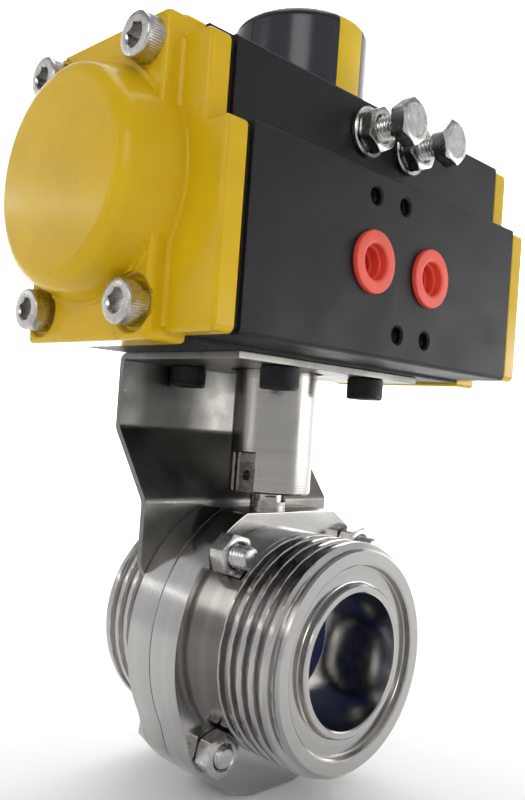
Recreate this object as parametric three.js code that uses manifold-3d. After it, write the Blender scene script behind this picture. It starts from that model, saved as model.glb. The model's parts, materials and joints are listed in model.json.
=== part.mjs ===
// Pneumatic quarter-turn actuator on a sanitary butterfly valve, in millimetres.
// Frame: origin at the centre of the pipe bore, +X along the actuator, -Y towards the
// front pipe end and the air ports, +Z up the stem. The valve is modelled open.
import * as THREE from 'three';
import { mergeVertices } from 'three/addons/utils/BufferGeometryUtils.js';
import Module from 'manifold-3d';

const wasm = await Module();
wasm.setup();

// ---------------------------------------------------------------- driving dimensions
const GAP = 0.3;                     // air left between pieces that touch

const ACTUATOR = {
  axisZ: 110,                        // height of the piston bore above the pipe bore
  boreR: 26,
  halfLength: 54.3,
  bottomZ: 75.2,                     // foot that sits on the bracket
  sideBottomZ: 76.1,                 // underside beside the foot
  portFaceY: -39.9,                  // wide lower block that carries the air ports
  stepZ: 120.4,
  upperFaceY: -33,
  rearFaceY: 30,
  shoulderZ: 140,
  padZ: 145,
  padHalfWidth: 24,
};

const CAP = {
  tierLength: 6.4,
  plateBottomZ: 74.2,
  plateTopZ: 144,
  plateEndX: 66,
  bossEndX: 76,
  bossBaseR: 28.6,
  bossTipR: 25.4,
  bossRound: 4,
  pocketR: 21.5,
  pocketEndX: 72.6,
};

const CAP_SCREWS = { y: 18.3, dz: 28, seatX: 64.5, headR: 5, headH: 6, shankR: 3, tipX: 42 };
const GASKET = { inner: 54.4, outer: 54.9 };

const GEAR = { teeth: 16, module: 1.25, play: 0.14, rootHalf: 1.3, tipHalf: 0.4, bottomZ: 99, topZ: 121 };
const GEAR_PITCH_R = GEAR.teeth * GEAR.module / 2;
const GEAR_TIP_R = GEAR_PITCH_R + GEAR.module;
const GEAR_ROOT_R = GEAR_PITCH_R - 1.25 * GEAR.module;

const PINION = { journalR: 11, coreR: 7.2, bottomZ: 76, socketHalf: 5.5, socketTopZ: 90 };
const PISTON = { headOuterX: 52.2, headInnerX: 40.2, headR: 25.7, armBackY: 20.5, armHalfZ: 9, armEndX: 7.2 };
const STOP = { x: 8.8, z: 132, tipY: 8.1, headBaseY: 43.7, headH: 3.8, nutH: 3.8, washerR: 6.2, shankR: 3 };
const CAM = { flat: 7.8, lobeR: 13.5, hubR: 9.6, bottomZ: 128.2, topZ: 133.2 };
const PORTS = { x: 12, z: 98.7, holeR: 6.2, flangeR: 7.6, screwDz: 16, screwHoleR: 2.4 };
const DOME = { r: 18.9, bottomZ: 145.5, topZ: 168.8, round: 3, wall: 3, stripeHalf: 4.75, stripeDepth: 1.6 };

const BRACKET = {
  halfWidth: 36.5,
  thickness: 1.8,
  topZ: 75.1,
  frontY: -21.8,
  upperLegY: 23,
  upperBendZ: 55,
  lowerBendZ: 36.4,
  lowerLegY: 9.3,
  earBottomZ: 15,
  hubClearR: 31.2,
};
const BRACKET_SCREWS = { spacing: 17.68, headR: 5, headH: 6, shankR: 3, topZ: 82.5 };

const COUPLING = { r: 11.5, bottomZ: 39.5, topZ: 74.7, spigotHalf: 5.25, spigotTopZ: 88, slotHalf: 4.35, slotTopZ: 50.6 };
const STEM = { r: 4, tangHalf: 4, tangLength: 18.6, tangBottomZ: 39.2, tangTopZ: 50.2, bottomZ: -27 };

const VALVE = {
  flangeR: 39.1,
  footR: 41.3,                       // larger radius around the lower part of the flange
  footFromDeg: 208,                  // where the rim starts to swell towards the foot
  footFullDeg: 224,
  footFlatZ: 40.5,
  frontFlangeY: 9.7,
  rearFlangeY: 9.2,
  flatZ: 35,
  hubR: 30,
  hubEndY: 15.3,
  endY: 33.95,
  threadPitch: 3.9,
  threadTurns: 4,
  threadRootR: 28.1,
  faceR: 28.4,
  grooveOuterR: 24.6,
  grooveInnerR: 19.4,
  grooveDepth: 2,
  boreR: 17.4,
  sealHalf: 9.7,
  sealOuterR: 24,
};
const VALVE_BOLTS = { offset: 25, shankR: 3, across: 10, headH: 4, nutH: 5 };
const DISC = { r: 17.3, hubR: 5.6, halfThickness: 2.6, rimHalf: 1.2 };

// ---------------------------------------------------------------- finishes
const FINISHES = {
  yellow_paint: { color: 0xd8b429, roughness: 0.3, metalness: 0.0 },
  black_anodised: { color: 0x2d2e33, roughness: 0.5, metalness: 0.4 },
  polished_steel: { color: 0xb4b1ab, roughness: 0.25, metalness: 1.0 },
  turned_steel: { color: 0x9c9893, roughness: 0.35, metalness: 1.0 },
  sheet_steel: { color: 0x8a8782, roughness: 0.4, metalness: 1.0 },
  cast_aluminium: { color: 0xa9abad, roughness: 0.45, metalness: 1.0 },
  black_oxide: { color: 0x1c1d20, roughness: 0.45, metalness: 0.6 },
  black_rubber: { color: 0x17181a, roughness: 0.8, metalness: 0.0 },
  blue_seal: { color: 0x12265c, roughness: 0.5, metalness: 0.0 },
  red_plastic: { color: 0xe0553f, roughness: 0.45, metalness: 0.0 },
  black_plastic: { color: 0x1f2126, roughness: 0.3, metalness: 0.0 },
  yellow_plastic: { color: 0xd9b62a, roughness: 0.4, metalness: 0.0 },
  white_plastic: { color: 0xe4e2da, roughness: 0.5, metalness: 0.0 },
};

// ---------------------------------------------------------------- solids
function solidOf(geometry) {
  const bare = geometry.clone();
  for (const name of Object.keys(bare.attributes)) {
    if (name !== 'position') {
      bare.deleteAttribute(name);
    }
  }
  const merged = mergeVertices(bare, 1e-5);
  const corners = merged.index.array;
  const kept = [];
  for (let i = 0; i < corners.length; i += 3) {
    const [a, b, c] = [corners[i], corners[i + 1], corners[i + 2]];
    if (a !== b && b !== c && c !== a) {
      kept.push(a, b, c);
    }
  }
  const mesh = new wasm.Mesh({
    numProp: 3,
    vertProperties: new Float32Array(merged.attributes.position.array),
    triVerts: new Uint32Array(kept),
  });
  return new wasm.Manifold(mesh);
}

function geometryOf(solid) {
  const mesh = solid.getMesh();
  const geometry = new THREE.BufferGeometry();
  geometry.setAttribute('position', new THREE.BufferAttribute(new Float32Array(mesh.vertProperties), 3));
  geometry.setIndex(new THREE.BufferAttribute(new Uint32Array(mesh.triVerts), 1));
  return geometry;
}

function join(...solids) {
  return solids.reduce((whole, next) => whole.add(next));
}

function cut(solid, ...tools) {
  return tools.reduce((left, tool) => left.subtract(tool), solid);
}

function outline(points) {
  const shape = new THREE.Shape();
  shape.moveTo(points[0][0], points[0][1]);
  for (const [x, y] of points.slice(1)) {
    shape.lineTo(x, y);
  }
  shape.closePath();
  return shape;
}

// Shape in XY pushed along +Z, from z0 to z1, with an optional chamfer on both ends.
function alongZ(points, z0, z1, chamfer = 0) {
  const geometry = new THREE.ExtrudeGeometry(outline(points), {
    depth: z1 - z0 - 2 * chamfer,
    bevelEnabled: chamfer > 0,
    bevelThickness: chamfer,
    bevelSize: chamfer,
    bevelOffset: -chamfer,
    bevelSegments: 1,
    curveSegments: 1,
  });
  geometry.translate(0, 0, z0 + chamfer);
  return geometry;
}

// Shape given as [y, z] pushed along X.
function alongX(points, x0, x1, chamfer = 0) {
  const geometry = alongZ(points, x0, x1, chamfer);
  geometry.applyMatrix4(new THREE.Matrix4().set(0, 0, 1, 0, 1, 0, 0, 0, 0, 1, 0, 0, 0, 0, 0, 1));
  return solidOf(geometry);
}

// Shape given as [x, z] pushed along Y.
function alongY(points, y0, y1) {
  const mirrored = points.map(([x, z]) => [-x, z]);
  const geometry = alongZ(mirrored, y0, y1);
  geometry.applyMatrix4(new THREE.Matrix4().set(-1, 0, 0, 0, 0, 0, 1, 0, 0, 1, 0, 0, 0, 0, 0, 1));
  return solidOf(geometry);
}

function block(x0, x1, y0, y1, z0, z1) {
  const geometry = new THREE.BoxGeometry(x1 - x0, y1 - y0, z1 - z0);
  geometry.translate((x0 + x1) / 2, (y0 + y1) / 2, (z0 + z1) / 2);
  return solidOf(geometry);
}

// Sides of a round feature, chosen so that large circles stay smooth and small ones stay light.
function sidesFor(radius) {
  if (radius < 4) {
    return 8;
  }
  if (radius < 9) {
    return 12;
  }
  return radius < 16 ? 20 : 32;
}

// Turned solid: profile is a list of [radius, distance along the axis].
function turned(axis, profile) {
  const segments = sidesFor(Math.max(...profile.map(([radius]) => radius)));
  const points = profile.map(([radius, along]) => new THREE.Vector2(radius, along));
  const geometry = new THREE.LatheGeometry(points, segments);
  if (axis === 'x') {
    geometry.rotateZ(-Math.PI / 2);
  } else if (axis === 'z') {
    geometry.rotateX(Math.PI / 2);
  }
  const solid = solidOf(geometry);
  return solid.volume() < 0 ? solidOf(flipped(geometry)) : solid;
}

function flipped(geometry) {
  const copy = mergeVertices(geometry);
  const corners = copy.index.array;
  for (let i = 0; i < corners.length; i += 3) {
    [corners[i], corners[i + 1]] = [corners[i + 1], corners[i]];
  }
  return copy;
}

function bar(axis, radius, from, to) {
  return turned(axis, [[0, from], [radius, from], [radius, to], [0, to]]);
}

// A round hole's flat sides are moved out to its radius, so that a shaft of that radius fits.
function flatsOut(radius, sides) {
  return radius / Math.cos(Math.PI / sides);
}

function hole(axis, radius, from, to) {
  return bar(axis, flatsOut(radius, sidesFor(radius)), from, to);
}

function tube(axis, inner, outer, from, to) {
  const clear = flatsOut(inner, sidesFor(outer));
  return turned(axis, [[clear, from], [outer, from], [outer, to], [clear, to], [clear, from]]);
}

function arcPoints(radius, fromDeg, toDeg, steps, centre = [0, 0]) {
  const points = [];
  for (let i = 0; i <= steps; i += 1) {
    const angle = THREE.MathUtils.degToRad(fromDeg + (toDeg - fromDeg) * i / steps);
    points.push([centre[0] + radius * Math.cos(angle), centre[1] + radius * Math.sin(angle)]);
  }
  return points;
}

function hexPoints(across, turnDeg = 0) {
  return arcPoints(across / Math.sqrt(3), turnDeg, turnDeg + 300, 5);
}

// ---------------------------------------------------------------- fasteners
// Every fastener is drawn with its head above z = 0 and its shank below, then turned.
function socketScrew({ headR, headH, shankR, length, keyAcross }) {
  const bevel = 0.7;
  const profile = [
    [0, -length], [shankR, -length], [shankR, 0], [headR, 0], [headR, headH - bevel], [headR - bevel, headH], [0, headH],
  ];
  const key = solidOf(alongZ(hexPoints(keyAcross), headH * 0.45, headH + 1));
  return cut(turned('z', profile), key);
}

function hexHead(across, height, turnDeg) {
  const cornerR = across / Math.sqrt(3);
  const chamfered = turned('z', [[0, 0], [cornerR, 0], [cornerR, height - 0.9], [across / 2 - 0.2, height], [0, height]]);
  return chamfered.intersect(solidOf(alongZ(hexPoints(across, turnDeg), -1, height + 1)));
}

function hexBolt({ across, headH, shankR, length, turnDeg = 0 }) {
  const shank = turned('z', [[0, -length], [shankR - 0.5, -length], [shankR, -length + 0.5], [shankR, 0.5], [0, 0.5]]);
  return join(hexHead(across, headH, turnDeg), shank);
}

function hexNut({ across, height, holeR, turnDeg = 0 }) {
  return cut(hexHead(across, height, turnDeg), hole('z', holeR, -1, height + 1));
}

function placed(solid, direction, at) {
  const target = new THREE.Vector3(...direction);
  const turn = new THREE.Quaternion().setFromUnitVectors(new THREE.Vector3(0, 0, 1), target);
  const matrix = new THREE.Matrix4().compose(new THREE.Vector3(...at), turn, new THREE.Vector3(1, 1, 1));
  return solidOf(geometryOf(solid).applyMatrix4(matrix));
}

function mirroredX(solid) {
  return solid.mirror([1, 0, 0]);
}

// ---------------------------------------------------------------- actuator housing
function actuatorProfile(inset, footZ, padZ) {
  const a = ACTUATOR;
  const bottom = a.sideBottomZ;
  const shoulder = a.shoulderZ - inset;
  const front = a.portFaceY + inset;
  const upper = a.upperFaceY + inset;
  const rear = a.rearFaceY - inset;
  const pad = a.padHalfWidth;
  const step = a.stepZ - inset;
  return [
    [-pad, footZ], [pad, footZ], [pad, bottom], [rear - 2, bottom], [rear, bottom + 2],
    [rear, shoulder - 1.5], [rear - 1.5, shoulder], [pad, shoulder], [pad, padZ - 0.8], [pad - 0.8, padZ],
    [-pad + 0.8, padZ], [-pad, padZ - 0.8], [-pad, shoulder], [upper + 1, shoulder], [upper, shoulder - 1],
    [upper, step + 0.5], [upper - 0.5, step], [front + 0.8, step], [front, step - 0.8],
    [front, bottom + 1.7], [front + 0.6, bottom + 0.6], [front + 2, bottom], [-pad, bottom],
  ];
}

function capScrewPlaces() {
  const places = [];
  for (const side of [-1, 1]) {
    for (const up of [-1, 1]) {
      for (const y of [-1, 1]) {
        places.push({
          end: side < 0 ? 'left' : 'right',
          level: up < 0 ? 'lower' : 'upper',
          face: y < 0 ? 'front' : 'rear',
          side,
          y: y * CAP_SCREWS.y,
          z: ACTUATOR.axisZ + up * CAP_SCREWS.dz,
        });
      }
    }
  }
  return places;
}

function shifted(solid, y, z) {
  return solid.translate([0, y, z]);
}

function actuatorBody() {
  const a = ACTUATOR;
  const clearR = CAP_SCREWS.shankR + GAP;
  let body = alongX(actuatorProfile(0, a.bottomZ, a.padZ), -a.halfLength, a.halfLength);
  body = cut(body, shifted(hole('x', a.boreR, -60, 60), 0, a.axisZ));
  body = cut(body, hole('z', PINION.journalR + 1.3, 70, a.axisZ));
  body = cut(body, hole('z', PINION.coreR + 1.5, a.axisZ, 150));
  body = cut(body, hole('z', CAM.lobeR + 0.8, 126, 134.3));
  for (const { side, y, z } of capScrewPlaces()) {
    const inner = side * (CAP_SCREWS.tipX - 1.5);
    const outer = side * (a.halfLength + 1);
    const drill = hole('x', clearR, Math.min(inner, outer), Math.max(inner, outer));
    body = cut(body, shifted(drill, y, z));
  }
  for (const x of [-STOP.x, STOP.x]) {
    body = cut(body, hole('y', STOP.shankR + GAP, -45, -5).translate([x, 0, STOP.z]));
  }
  for (const x of [-PORTS.x, PORTS.x]) {
    body = cut(body, hole('y', PORTS.holeR, -45, -15).translate([x, 0, PORTS.z]));
  }
  for (const [x, up] of [[-PORTS.x, 1], [0, 1], [0, -1], [PORTS.x, -1]]) {
    const drill = hole('y', PORTS.screwHoleR, -45, a.portFaceY + 8);
    body = cut(body, drill.translate([x, 0, PORTS.z + up * PORTS.screwDz]));
  }
  for (const x of [-BRACKET_SCREWS.spacing, BRACKET_SCREWS.spacing]) {
    for (const y of [-BRACKET_SCREWS.spacing, BRACKET_SCREWS.spacing]) {
      const drill = hole('z', BRACKET_SCREWS.shankR + GAP, 70, BRACKET_SCREWS.topZ + 0.5);
      body = cut(body, drill.translate([x, y, 0]));
    }
  }
  return body;
}

function endCap() {
  const c = CAP;
  const innerX = GASKET.outer + 0.1;
  const tierX = innerX + c.tierLength;
  const tier = alongX(actuatorProfile(0.5, c.plateBottomZ + 0.3, ACTUATOR.padZ - 0.5), innerX, tierX, 0.9);
  const pad = ACTUATOR.padHalfWidth;
  const platePoints = [[-pad, c.plateBottomZ], [pad, c.plateBottomZ], [pad, c.plateTopZ], [-pad, c.plateTopZ]];
  const plate = alongX(platePoints, innerX + 2, c.plateEndX, 1.2);
  const round = arcPoints(c.bossRound, 0, 90, 3, [c.bossTipR - c.bossRound, c.bossEndX - c.bossRound]);
  const bossProfile = [[0, innerX + 2], [c.bossBaseR, innerX + 2], [c.bossBaseR - 0.4, c.plateEndX], ...round];
  const boss = shifted(turned('x', [...bossProfile, [0, c.bossEndX]]), 0, ACTUATOR.axisZ);
  const pocket = shifted(hole('x', c.pocketR, innerX - 1, c.pocketEndX), 0, ACTUATOR.axisZ);
  let cap = cut(join(tier, plate, boss), pocket);
  for (const y of [-CAP_SCREWS.y, CAP_SCREWS.y]) {
    for (const dz of [-CAP_SCREWS.dz, CAP_SCREWS.dz]) {
      const z = ACTUATOR.axisZ + dz;
      const seat = hole('x', CAP_SCREWS.headR + 1.1, CAP_SCREWS.seatX - 0.1, 80);
      const drill = hole('x', CAP_SCREWS.shankR + GAP, 50, 80);
      cap = cut(cap, shifted(seat, y, z), shifted(drill, y, z));
    }
  }
  return cap;
}

function capGasket() {
  const points = actuatorProfile(0.9, ACTUATOR.bottomZ + 0.2, ACTUATOR.padZ - 0.9);
  let gasket = alongX(points, GASKET.inner, GASKET.outer);
  gasket = cut(gasket, shifted(hole('x', ACTUATOR.boreR, 50, 60), 0, ACTUATOR.axisZ));
  for (const { side, y, z } of capScrewPlaces()) {
    if (side > 0) {
      gasket = cut(gasket, shifted(hole('x', CAP_SCREWS.shankR + GAP, 50, 60), y, z));
    }
  }
  return gasket;
}

function capScrew() {
  const length = CAP_SCREWS.seatX - CAP_SCREWS.tipX;
  return socketScrew({ ...CAP_SCREWS, length, keyAcross: 5 });
}

// ---------------------------------------------------------------- drive train
function gearOutline() {
  const pitchAngle = 360 / GEAR.teeth;
  const angleOf = (half, radius) => THREE.MathUtils.radToDeg(half / radius);
  const points = [];
  for (let i = 0; i < GEAR.teeth; i += 1) {
    const centre = (i + 0.5) * pitchAngle;
    const flank = [
      [GEAR_ROOT_R, -angleOf(GEAR.rootHalf, GEAR_ROOT_R)],
      [GEAR_TIP_R, -angleOf(GEAR.tipHalf, GEAR_TIP_R)],
      [GEAR_TIP_R, angleOf(GEAR.tipHalf, GEAR_TIP_R)],
      [GEAR_ROOT_R, angleOf(GEAR.rootHalf, GEAR_ROOT_R)],
    ];
    for (const [radius, offset] of flank) {
      const angle = THREE.MathUtils.degToRad(centre + offset);
      points.push([radius * Math.cos(angle), radius * Math.sin(angle)]);
    }
  }
  return points;
}

function drivePinion() {
  const p = PINION;
  const gear = solidOf(alongZ(gearOutline(), GEAR.bottomZ, GEAR.topZ));
  const shaft = turned('z', [
    [0, p.bottomZ], [p.journalR - 0.5, p.bottomZ], [p.journalR, p.bottomZ + 0.5], [p.journalR, 97],
    [GEAR_ROOT_R - 0.3, 98.5], [GEAR_ROOT_R - 0.3, GEAR.topZ + 0.5], [p.coreR, GEAR.topZ + 1.5],
    [p.coreR, 145.3], [p.coreR - 0.9, 145.3], [p.coreR - 0.9, 146.7], [p.coreR, 146.7], [p.coreR, 148], [0, 148],
  ]);
  const stub = block(-4.5, 4.5, -4.5, 4.5, 147, 157);
  const socket = block(-p.socketHalf, p.socketHalf, -p.socketHalf, p.socketHalf, 70, p.socketTopZ);
  const keyPart = block(p.coreR - 1, p.coreR + 1, -1.2, 1.2, 128.4, 133);
  const tapped = hole('z', 2.3, 147.5, 160);
  return cut(join(gear, shaft, stub, keyPart), socket, tapped);
}

function travelCam() {
  const c = CAM;
  const angleAt = (radius, flat) => THREE.MathUtils.radToDeg(Math.acos(flat / radius));
  const lobe = angleAt(c.lobeR, c.flat);
  const hub = angleAt(c.hubR, c.flat);
  const points = [
    ...arcPoints(c.lobeR, lobe, 270 - lobe, 22),
    ...arcPoints(c.hubR, 270 - hub, 360 + hub, 18),
  ];
  const disc = solidOf(alongZ(points, c.bottomZ, c.topZ));
  const keyway = block(PINION.coreR - 1, PINION.coreR + 1.25, -1.5, 1.5, 120, 140);
  return cut(disc, hole('z', PINION.coreR + 0.15, 120, 140), keyway);
}

function rackArmOutline() {
  const pitch = Math.PI * GEAR.module;
  const tipY = GEAR_PITCH_R - GEAR.module;
  const rootY = GEAR_PITCH_R + 1.25 * GEAR.module;
  const slope = Math.tan(THREE.MathUtils.degToRad(20));
  const halfPitch = pitch / 4 - GEAR.play;
  const halfTip = halfPitch - GEAR.module * slope;
  const halfRoot = halfPitch + 1.25 * GEAR.module * slope;
  const points = [[-PISTON.headInnerX - 1, PISTON.armBackY], [-PISTON.headInnerX - 1, rootY]];
  for (let tooth = -6; tooth <= 1; tooth += 1) {
    const x = tooth * pitch;
    points.push([x - halfRoot, rootY], [x - halfTip, tipY], [x + halfTip, tipY], [x + halfRoot, rootY]);
  }
  points.push([PISTON.armEndX, rootY], [PISTON.armEndX, PISTON.armBackY]);
  return points;
}

function leftPiston() {
  const p = PISTON;
  const ringInner = p.headR - 2.2;
  const head = turned('x', [
    [0, -p.headOuterX + 4], [17, -p.headOuterX + 4], [18, -p.headOuterX], [p.headR - 0.6, -p.headOuterX],
    [p.headR, -p.headOuterX + 0.6], [p.headR, -48.3], [ringInner, -48.3], [ringInner, -44.7], [p.headR, -44.7],
    [p.headR, -p.headInnerX], [0, -p.headInnerX],
  ]);
  const arm = solidOf(alongZ(rackArmOutline(), -p.armHalfZ, p.armHalfZ));
  return shifted(join(head, arm), 0, ACTUATOR.axisZ);
}

function leftPistonRing() {
  return shifted(tube('x', PISTON.headR - 1.9, PISTON.headR + 0.2, -48.1, -44.9), 0, ACTUATOR.axisZ);
}

// The right-hand piston is the left-hand one turned half a turn about the stem.
function halfTurn(solid) {
  return solid.rotate([0, 0, 180]);
}

function stopBolt(x) {
  const length = STOP.headBaseY - STOP.tipY;
  const bolt = hexBolt({ across: 10, headH: STOP.headH, shankR: STOP.shankR, length });
  return placed(bolt, [0, -1, 0], [x, -STOP.headBaseY, STOP.z]);
}

function stopNut(x) {
  const nut = hexNut({ across: 10, height: STOP.nutH, holeR: STOP.shankR + GAP });
  return placed(nut, [0, -1, 0], [x, ACTUATOR.upperFaceY - 1.4, STOP.z]);
}

function stopWasher(x) {
  const from = ACTUATOR.upperFaceY - 1.3;
  return tube('y', STOP.shankR + GAP, STOP.washerR, from, from + 1.2).translate([x, 0, STOP.z]);
}

function portPlug(x) {
  const p = PORTS;
  const face = ACTUATOR.portFaceY;
  const profile = [
    [4.3, face - 1], [5.9, face - 1.3], [p.flangeR - 0.3, face - 1.1], [p.flangeR, face - 0.8], [p.flangeR, face - 0.1],
    [p.holeR - GAP, face - 0.1], [p.holeR - GAP, face + 8.5], [0, face + 8.5], [0, face + 7],
    [3.6, face + 7], [3.6, face + 2.6], [4.3, face + 2.6], [4.3, face - 1],
  ];
  return turned('y', profile).translate([x, 0, p.z]);
}

// ---------------------------------------------------------------- indicator
function domeSolid(inset) {
  const d = DOME;
  const r = d.r - inset;
  const top = d.topZ - inset;
  const round = Math.max(d.round - inset, 0.8);
  const corner = arcPoints(round, 0, 90, 3, [r - round, top - round]);
  return turned('z', [[0, d.bottomZ], [r, d.bottomZ], ...corner, [0, top]]);
}

function indicatorDome() {
  const d = DOME;
  const hollow = hole('z', d.r - d.wall, d.bottomZ - 1, d.topZ - d.wall - 1.5);
  const socketPost = bar('z', 9, 149.5, d.topZ - 4);
  const socket = block(-4.7, 4.7, -4.7, 4.7, 140, 157.3);
  const screwHole = hole('z', 3.3, 150, 180);
  const screwSink = hole('z', 5.6, d.topZ - 4.2, 180);
  const slot = cut(block(-d.stripeHalf, d.stripeHalf, -30, 30, 100, 200), domeSolid(d.stripeDepth + 0.1));
  const seams = join(
    block(-d.r - 1, -d.r + 0.5, -0.3, 0.3, 140, d.topZ - 2),
    block(d.r - 0.5, d.r + 1, -0.3, 0.3, 140, d.topZ - 2),
  );
  return cut(join(cut(domeSolid(0), hollow), socketPost), socket, screwHole, screwSink, slot, seams);
}

function indicatorStripe() {
  const d = DOME;
  const band = domeSolid(0).subtract(domeSolid(d.stripeDepth - 0.1));
  const half = d.stripeHalf - 0.15;
  const strip = band.intersect(block(-half, half, -30, 30, d.bottomZ - 1, 200));
  return cut(strip, hole('z', 5.75, 150, 180)).decompose();
}

function indicatorScrew() {
  const screw = socketScrew({ headR: 5, headH: 3.8, shankR: 2, length: 14.5, keyAcross: 4 });
  return screw.translate([0, 0, DOME.topZ - 4.1]);
}

function snapRing() {
  const ring = tube('z', 6.5, 9.4, 145.5, 146.5);
  return cut(ring, block(5, 12, -1.5, 1.5, 140, 150));
}

// ---------------------------------------------------------------- bracket and coupling
function bracketSide() {
  const b = BRACKET;
  const t = b.thickness;
  const run = b.upperLegY - b.lowerLegY;
  const slope = Math.atan2(run, b.upperBendZ - b.lowerBendZ);
  const shift = t * Math.tan(slope / 2);
  return [
    [b.frontY, b.topZ], [b.frontY, b.topZ - t], [b.upperLegY - 0.2, b.topZ - t], [b.upperLegY, b.topZ - t - 0.2],
    [b.upperLegY, b.upperBendZ], [b.lowerLegY, b.lowerBendZ], [b.lowerLegY, b.earBottomZ],
    [b.lowerLegY + t, b.earBottomZ], [b.lowerLegY + t, b.lowerBendZ - shift], [b.upperLegY + t, b.upperBendZ - shift],
    [b.upperLegY + t, b.topZ - 3], [b.upperLegY + t - 1, b.topZ - 0.9], [b.upperLegY - 1.2, b.topZ],
  ];
}

function mountingBracket() {
  const b = BRACKET;
  const w = b.halfWidth;
  const sheet = alongX(bracketSide().reverse(), -w, w);
  const frontView = [
    [-w, 90], [-w, 40], ...arcPoints(6, 180, 235, 4, [-w + 6, b.earBottomZ + 6]),
    [-28, b.earBottomZ], [28, b.earBottomZ],
    ...arcPoints(6, -55, 0, 4, [w - 6, b.earBottomZ + 6]), [w, 40], [w, 90],
  ];
  let bracket = sheet.intersect(alongY(frontView, -40, 40));
  bracket = cut(bracket, hole('y', b.hubClearR, 0, b.lowerLegY + 5));
  bracket = cut(bracket, hole('z', COUPLING.r + 1.5, 70, 80));
  for (const x of [-1, 1]) {
    for (const y of [-1, 1]) {
      const at = [x * BRACKET_SCREWS.spacing, y * BRACKET_SCREWS.spacing, 0];
      bracket = cut(bracket, hole('z', BRACKET_SCREWS.shankR + GAP, 70, 80).translate(at));
    }
    const at = [x * VALVE_BOLTS.offset, 0, VALVE_BOLTS.offset];
    bracket = cut(bracket, hole('y', VALVE_BOLTS.shankR + GAP, 0, 20).translate(at));
  }
  return bracket;
}

function bracketScrew(x, y) {
  const seatZ = BRACKET.topZ - BRACKET.thickness - 0.1;
  const screw = socketScrew({ ...BRACKET_SCREWS, length: BRACKET_SCREWS.topZ - seatZ, keyAcross: 5 });
  return placed(screw, [0, 0, -1], [x, y, seatZ]);
}

function stemCoupling() {
  const c = COUPLING;
  const chamfer = 0.4;
  const barrel = turned('z', [
    [0, c.bottomZ], [c.r - chamfer, c.bottomZ], [c.r, c.bottomZ + chamfer],
    [c.r, c.topZ - chamfer], [c.r - chamfer, c.topZ], [0, c.topZ],
  ]);
  const spigot = solidOf(alongZ([
    [-c.spigotHalf, -c.spigotHalf], [c.spigotHalf, -c.spigotHalf],
    [c.spigotHalf, c.spigotHalf], [-c.spigotHalf, c.spigotHalf],
  ], c.topZ - 1, c.spigotTopZ, 0.6));
  const slot = block(-20, 20, -c.slotHalf, c.slotHalf, c.bottomZ - 1, c.slotTopZ);
  return cut(join(barrel, spigot), slot);
}

// ---------------------------------------------------------------- valve
function discAndStem() {
  const d = DISC;
  const s = STEM;
  const plate = turned('x', [
    [0, -d.halfThickness], [9, -d.halfThickness], [d.r - 0.6, -d.rimHalf], [d.r, -d.rimHalf + 0.5],
    [d.r, d.rimHalf - 0.5], [d.r - 0.6, d.rimHalf], [9, d.halfThickness], [0, d.halfThickness],
  ]);
  const hub = bar('z', d.hubR - 0.8, -d.r + 1.2, d.r - 1.2);
  const shaft = turned('z', [[0, s.bottomZ], [s.r - 0.5, s.bottomZ], [s.r, s.bottomZ + 0.5], [s.r, s.tangBottomZ + 0.1], [0, s.tangBottomZ + 0.1]]);
  const half = s.tangLength / 2;
  const tang = block(-half, half, -s.tangHalf, s.tangHalf, s.tangBottomZ, s.tangTopZ);
  const crossHole = hole('x', 1.5, -half - 1, -half + 5).translate([0, 0, 44]);
  return cut(join(plate, hub, shaft, tang), crossHole);
}

function seatSeal() {
  const v = VALVE;
  const ring = turned('y', [
    [v.boreR + 0.1, -v.sealHalf], [v.sealOuterR, -v.sealHalf], [v.sealOuterR, v.sealHalf], [v.boreR + 0.1, v.sealHalf],
    [v.boreR + 0.1, -v.sealHalf],
  ]);
  return cut(ring, hole('z', STEM.r + 0.35, -30, 30));
}

// Rounded male union thread drawn as plain rings.
function unionProfile(flangeY) {
  const v = VALVE;
  const points = [[v.hubR, flangeY], [v.hubR, v.hubEndY]];
  for (let turn = 0; turn < v.threadTurns; turn += 1) {
    const start = v.hubEndY + turn * v.threadPitch;
    points.push([v.threadRootR, start + 1.4], [v.hubR - 0.1, start + 2.7], [v.hubR - 0.1, start + v.threadPitch]);
  }
  points.push([v.threadRootR, v.endY - 1.4], [v.faceR, v.endY]);
  points.push([v.grooveOuterR, v.endY], [v.grooveOuterR - 0.4, v.endY - v.grooveDepth]);
  points.push([v.grooveInnerR + 0.4, v.endY - v.grooveDepth], [v.grooveInnerR, v.endY], [v.boreR, v.endY]);
  return points;
}

// Round flange with a chord across the top and a slightly larger, flat-bottomed foot.
function flangeOutline() {
  const v = VALVE;
  const chord = THREE.MathUtils.radToDeg(Math.asin(v.flatZ / v.flangeR));
  const toe = THREE.MathUtils.radToDeg(Math.acos(v.footFlatZ / v.footR));
  const swell = [];
  for (const part of [0.25, 0.5, 0.75]) {
    const radius = THREE.MathUtils.lerp(v.flangeR, v.footR, THREE.MathUtils.smoothstep(part, 0, 1));
    const angle = THREE.MathUtils.lerp(v.footFromDeg, v.footFullDeg, part);
    swell.push(...arcPoints(radius, angle, angle, 1).slice(1));
  }
  const left = [
    ...arcPoints(v.flangeR, 180 - chord, v.footFromDeg, 22),
    ...swell,
    ...arcPoints(v.footR, v.footFullDeg, 270 - toe, 10),
  ];
  const right = left.map(([x, z]) => [-x, z]).reverse();
  return [...left, ...right];
}

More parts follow.
